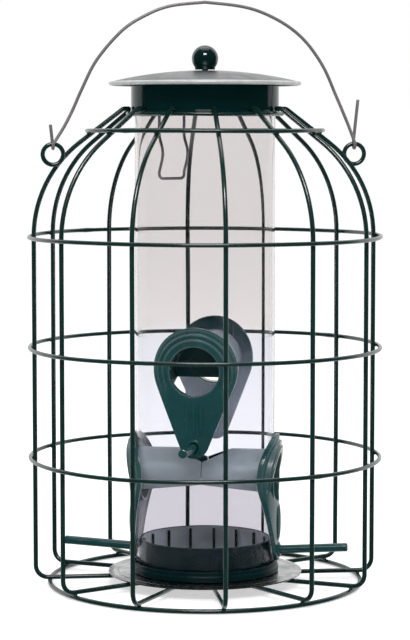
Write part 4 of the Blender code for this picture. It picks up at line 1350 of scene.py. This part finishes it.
    def softened(self, mesh):
        """The mesh with its edges rounded as a mould leaves them, and with its ridges."""
        body = show("port_soft", mesh)
        grid = body.modifiers.new("Grid", "REMESH")
        grid.mode = "VOXEL"
        grid.voxel_size = 0.00022
        soft = body.modifiers.new("Soft", "SMOOTH")
        soft.factor = 0.5
        soft.iterations = 10
        fewer = body.modifiers.new("Fewer", "DECIMATE")
        fewer.ratio = 0.26
        made = baked(body)
        shape = bmesh.new()
        shape.from_mesh(made)
        self.add_ridges(shape)
        shape.to_mesh(made)
        shape.free()
        made.shade_smooth()
        return made

    def add_ridges(self, shape):
        """Three upright ridges with soft flanks on the tail, over the perch."""
        tube = settings("tube")
        skin = tube.tube_radius + CLEARANCE + tube.port_plate
        pitch, width, rise, half, sunk, over_perch = 0.0034, 0.0014, 0.0013, 0.0098, 0.0005, 0.0040
        sizes = Vector((width, rise, half))
        for x in (-pitch, 0.0, pitch):
            centre = Vector((x, sunk - math.sqrt(skin ** 2 - x ** 2), -tube.perch_drop + over_perch + half))
            ball = bmesh.ops.create_uvsphere(shape, u_segments=20, v_segments=28, radius=1.0)
            for vertex in ball["verts"]:
                vertex.co = centre + vertex.co * sizes


class FEEDER_OT_perches(bpy.types.Operator):
    """Mould the four perches"""
    bl_idname = "feeder.perches"
    bl_label = "Perches"

    def execute(self, context):
        tube = settings("tube")
        wall, axis = perch_line()
        socket_gap, count = 0.0012, 12
        start = wall + axis * socket_gap
        length = (tube.perch_reach + start.y) / -axis.y
        points = [start + axis * length * step / count for step in range(count + 1)]
        for side in SIDES:
            bent_piece(
                f"moulded_perch_{side}", points, tube.perch_radius, *moulded(f"perch_{side}"),
                place=port_place(side), sides=28, tip=0.28,
            )
        return {"FINISHED"}


class FEEDER_OT_collar(bpy.types.Operator):
    """Roll the neck collar with its beaded edges"""
    bl_idname = "feeder.collar"
    bl_label = "Neck collar"

    def execute(self, context):
        lid = settings("lid")
        low, high = level("neck_collar"), level("neck_collar", 1)
        outer, inner = lid.collar_radius, lid.collar_radius - lid.collar_wall
        edge, band = outer - 0.0003, outer - 0.0004
        top_bead = [high - down for down in (0.0006, 0.0016, 0.0023)]
        low_bead = [low + up for up in (0.0026, 0.0018, 0.0004)]
        heights = (high, *top_bead, *low_bead, low)
        radii = (edge, outer, outer, band, band, outer, outer, edge)
        profile = [*zip(radii, heights), (inner, low), (inner, high)]
        turned_piece(
            "collar", eased(profile, 0.0005, 3), 160, band_enamel(), "cage", "green_enamel", "neck_collar"
        )
        return {"FINISHED"}


def dome_curve(radius):
    """The height of the lid's outer face at a radius."""
    lid = settings("lid")
    dome = lid.lid_radius - lid.rim_width
    curve = (dome ** 2 + lid.lid_rise ** 2) / (2 * lid.lid_rise)
    return level("lid_dome", 1) - curve + math.sqrt(curve ** 2 - radius ** 2)


class FEEDER_OT_lid(bpy.types.Operator):
    """Spin the lid's shallow dome and roll its rim"""
    bl_idname = "feeder.lid"
    bl_label = "Lid"

    def execute(self, context):
        lid = settings("lid")
        hole, dome = LID_SCREW_HOLE, lid.lid_radius - lid.rim_width
        shoulder, groove, groove_depth = dome - 0.0010, dome - 0.0004, 0.00030
        crease = dome_curve(dome)
        over = [dome * step / 24 for step in range(2, 24)]
        outer = [(radius, dome_curve(radius)) for radius in (hole, *over, shoulder)]
        outer.append((groove, crease - groove_depth))
        rim = Vector((dome, crease - lid.rim_height / 2))
        lip = self.rim_arc(rim, 0.0, 95, -90, 16)
        edge = dome - lid.lid_sheet / 2
        under = [edge * step / 16 for step in range(16, 0, -1)]
        inner = [(radius, dome_curve(radius) - lid.lid_sheet) for radius in (*under, hole)]
        turned_piece("lid", [*outer, *lip, *inner], 160, lid_sheet(), "lid", "galvanised_sheet", "lid_dome")
        # A thin shell over the rolled rim carries the rim's painted highlight.
        skin = 0.00005
        bead = self.rim_arc(rim, skin, 70, -85, 14) + self.rim_arc(rim, -skin, 70, -85, 14)[::-1]
        turned_piece("lid_rim", bead, 160, rim_sheet(), "lid", "galvanised_sheet")
        return {"FINISHED"}

    def rim_arc(self, middle_point, skin, start, end, count):
        """Points on the rolled rim, from one angle in degrees to another, with a skin's thickness added."""
        lid = settings("lid")
        wide, tall = lid.rim_width + skin, lid.rim_height / 2 + skin
        turns = arc((0.0, 0.0), 1.0, math.radians(start), math.radians(end), count)
        return [(middle_point.x + x * wide, middle_point.y + z * tall) for x, z in turns]


class FEEDER_OT_knob(bpy.types.Operator):
    """Turn the ball knob with its short neck"""
    bl_idname = "feeder.knob"
    bl_label = "Knob"

    def execute(self, context):
        lid = settings("lid")
        low, bore, depth = level("lid_knob"), LID_SCREW_HOLE, 0.0070
        neck, neck_foot, foot_height = 0.0050, 0.0047, 0.0004
        ball_end = -math.acos(neck / lid.knob_radius)
        ball = arc((0.0, lid.knob_centre), lid.knob_radius, math.pi / 2, ball_end, 26)
        profile = [
            (0.0, ball[0][1]), *ball[1:], (neck, low + foot_height), (neck_foot, low), (bore, low),
            (bore, low + depth), (0.0, low + depth),
        ]
        turned_piece("knob", profile, 64, knob_enamel(), "lid", "green_enamel", "lid_knob", closed=False)
        return {"FINISHED"}


class FEEDER_OT_catch(bpy.types.Operator):
    """Bend the spring wire that hangs from the lid into the tube"""
    bl_idname = "feeder.catch"
    bl_label = "Catch wire"
    azimuth = math.radians(-137)

    def execute(self, context):
        lid, tube = settings("lid"), settings("tube")
        half, bend, insert_wall, knee_depth = lid.catch_width / 2, 0.0022, 0.0012, 0.0028
        insert_inner = tube.tube_radius - tube.tube_wall - TUBE_FIT - insert_wall
        out = math.sqrt((insert_inner - CLEARANCE - lid.catch_wire / 2) ** 2 - half ** 2)
        knee = out - knee_depth
        low, high = level("lid_catch") - lid.catch_sag + lid.catch_wire / 2, level("lid_catch", 1)
        knee_heights = (0.030, 0.0215, 0.0148, 0.0102, 0.0034)
        heights = (high, *(low + up for up in knee_heights), low + bend)
        leg = zip((out, out, out, knee, knee, out, out), heights)
        right = smooth_path([Vector((x, half, z)) for x, z in leg], 6)
        corner = arc((half - bend, low + bend), bend, 0.0, -math.pi / 2, 7)
        right += [Vector((out, y, z)) for y, z in corner[1:]]
        left = [Vector((point.x, -point.y, point.z)) for point in reversed(right)]
        bent_piece(
            "catch", [*right, *left], lid.catch_wire / 2, bare_wire(), "lid", "bare_steel", "lid_catch",
            place=turn_to(self.azimuth), sides=12,
        )
        return {"FINISHED"}


class FEEDER_OT_small_parts(bpy.types.Operator):
    """Give the lid's insert, the screws and the nut their finishes"""
    bl_idname = "feeder.small_parts"
    bl_label = "Insert, screws and nut"

    def execute(self, context):
        frame["nodes"]["lid_insert"].material_slots[0].material = cup_plastic()
        for node in ("lid_screw", "base_screw", "base_nut"):
            frame["nodes"][node].material_slots[0].material = screw_steel()
        return {"FINISHED"}


class FEEDER_PT_panel(bpy.types.Panel):
    """Lists the pieces of the feeder in the order in which they are built"""
    bl_idname = "FEEDER_PT_panel"
    bl_label = "Caged Seed Feeder"
    bl_space_type = "VIEW_3D"
    bl_region_type = "UI"
    bl_category = "Feeder"

    def draw(self, context):
        for operator in OPERATORS:
            self.layout.operator(operator.bl_idname)
        for name in GROUPS:
            holder = getattr(context.scene, f"feeder_{name}")
            column = self.layout.column(align=True)
            column.label(text=name.capitalize())
            for label in holder.bl_rna.properties.keys():
                if label not in ("rna_type", "name"):
                    column.prop(holder, label)


GROUPS = {
    "cage": FeederCage, "tube": FeederTube, "lid": FeederLid, "colours": FeederColours, "view": FeederView,
}
OPERATORS = (
    FEEDER_OT_stage, FEEDER_OT_ribs, FEEDER_OT_hoops, FEEDER_OT_welds, FEEDER_OT_ears, FEEDER_OT_bail,
    FEEDER_OT_plate, FEEDER_OT_cup, FEEDER_OT_tube, FEEDER_OT_ports, FEEDER_OT_perches, FEEDER_OT_collar,
    FEEDER_OT_lid, FEEDER_OT_knob, FEEDER_OT_catch, FEEDER_OT_small_parts,
)


def register():
    for kind in (*GROUPS.values(), *OPERATORS, FEEDER_PT_panel):
        bpy.utils.register_class(kind)
    for name, kind in GROUPS.items():
        setattr(bpy.types.Scene, f"feeder_{name}", PointerProperty(type=kind))


def unregister():
    for name in GROUPS:
        delattr(bpy.types.Scene, f"feeder_{name}")
    for kind in reversed((*GROUPS.values(), *OPERATORS, FEEDER_PT_panel)):
        bpy.utils.unregister_class(kind)


def main():
    register()
    for operator in OPERATORS:
        getattr(bpy.ops.feeder, operator.bl_idname.split(".")[1])()


if __name__ == "__main__":
    main()
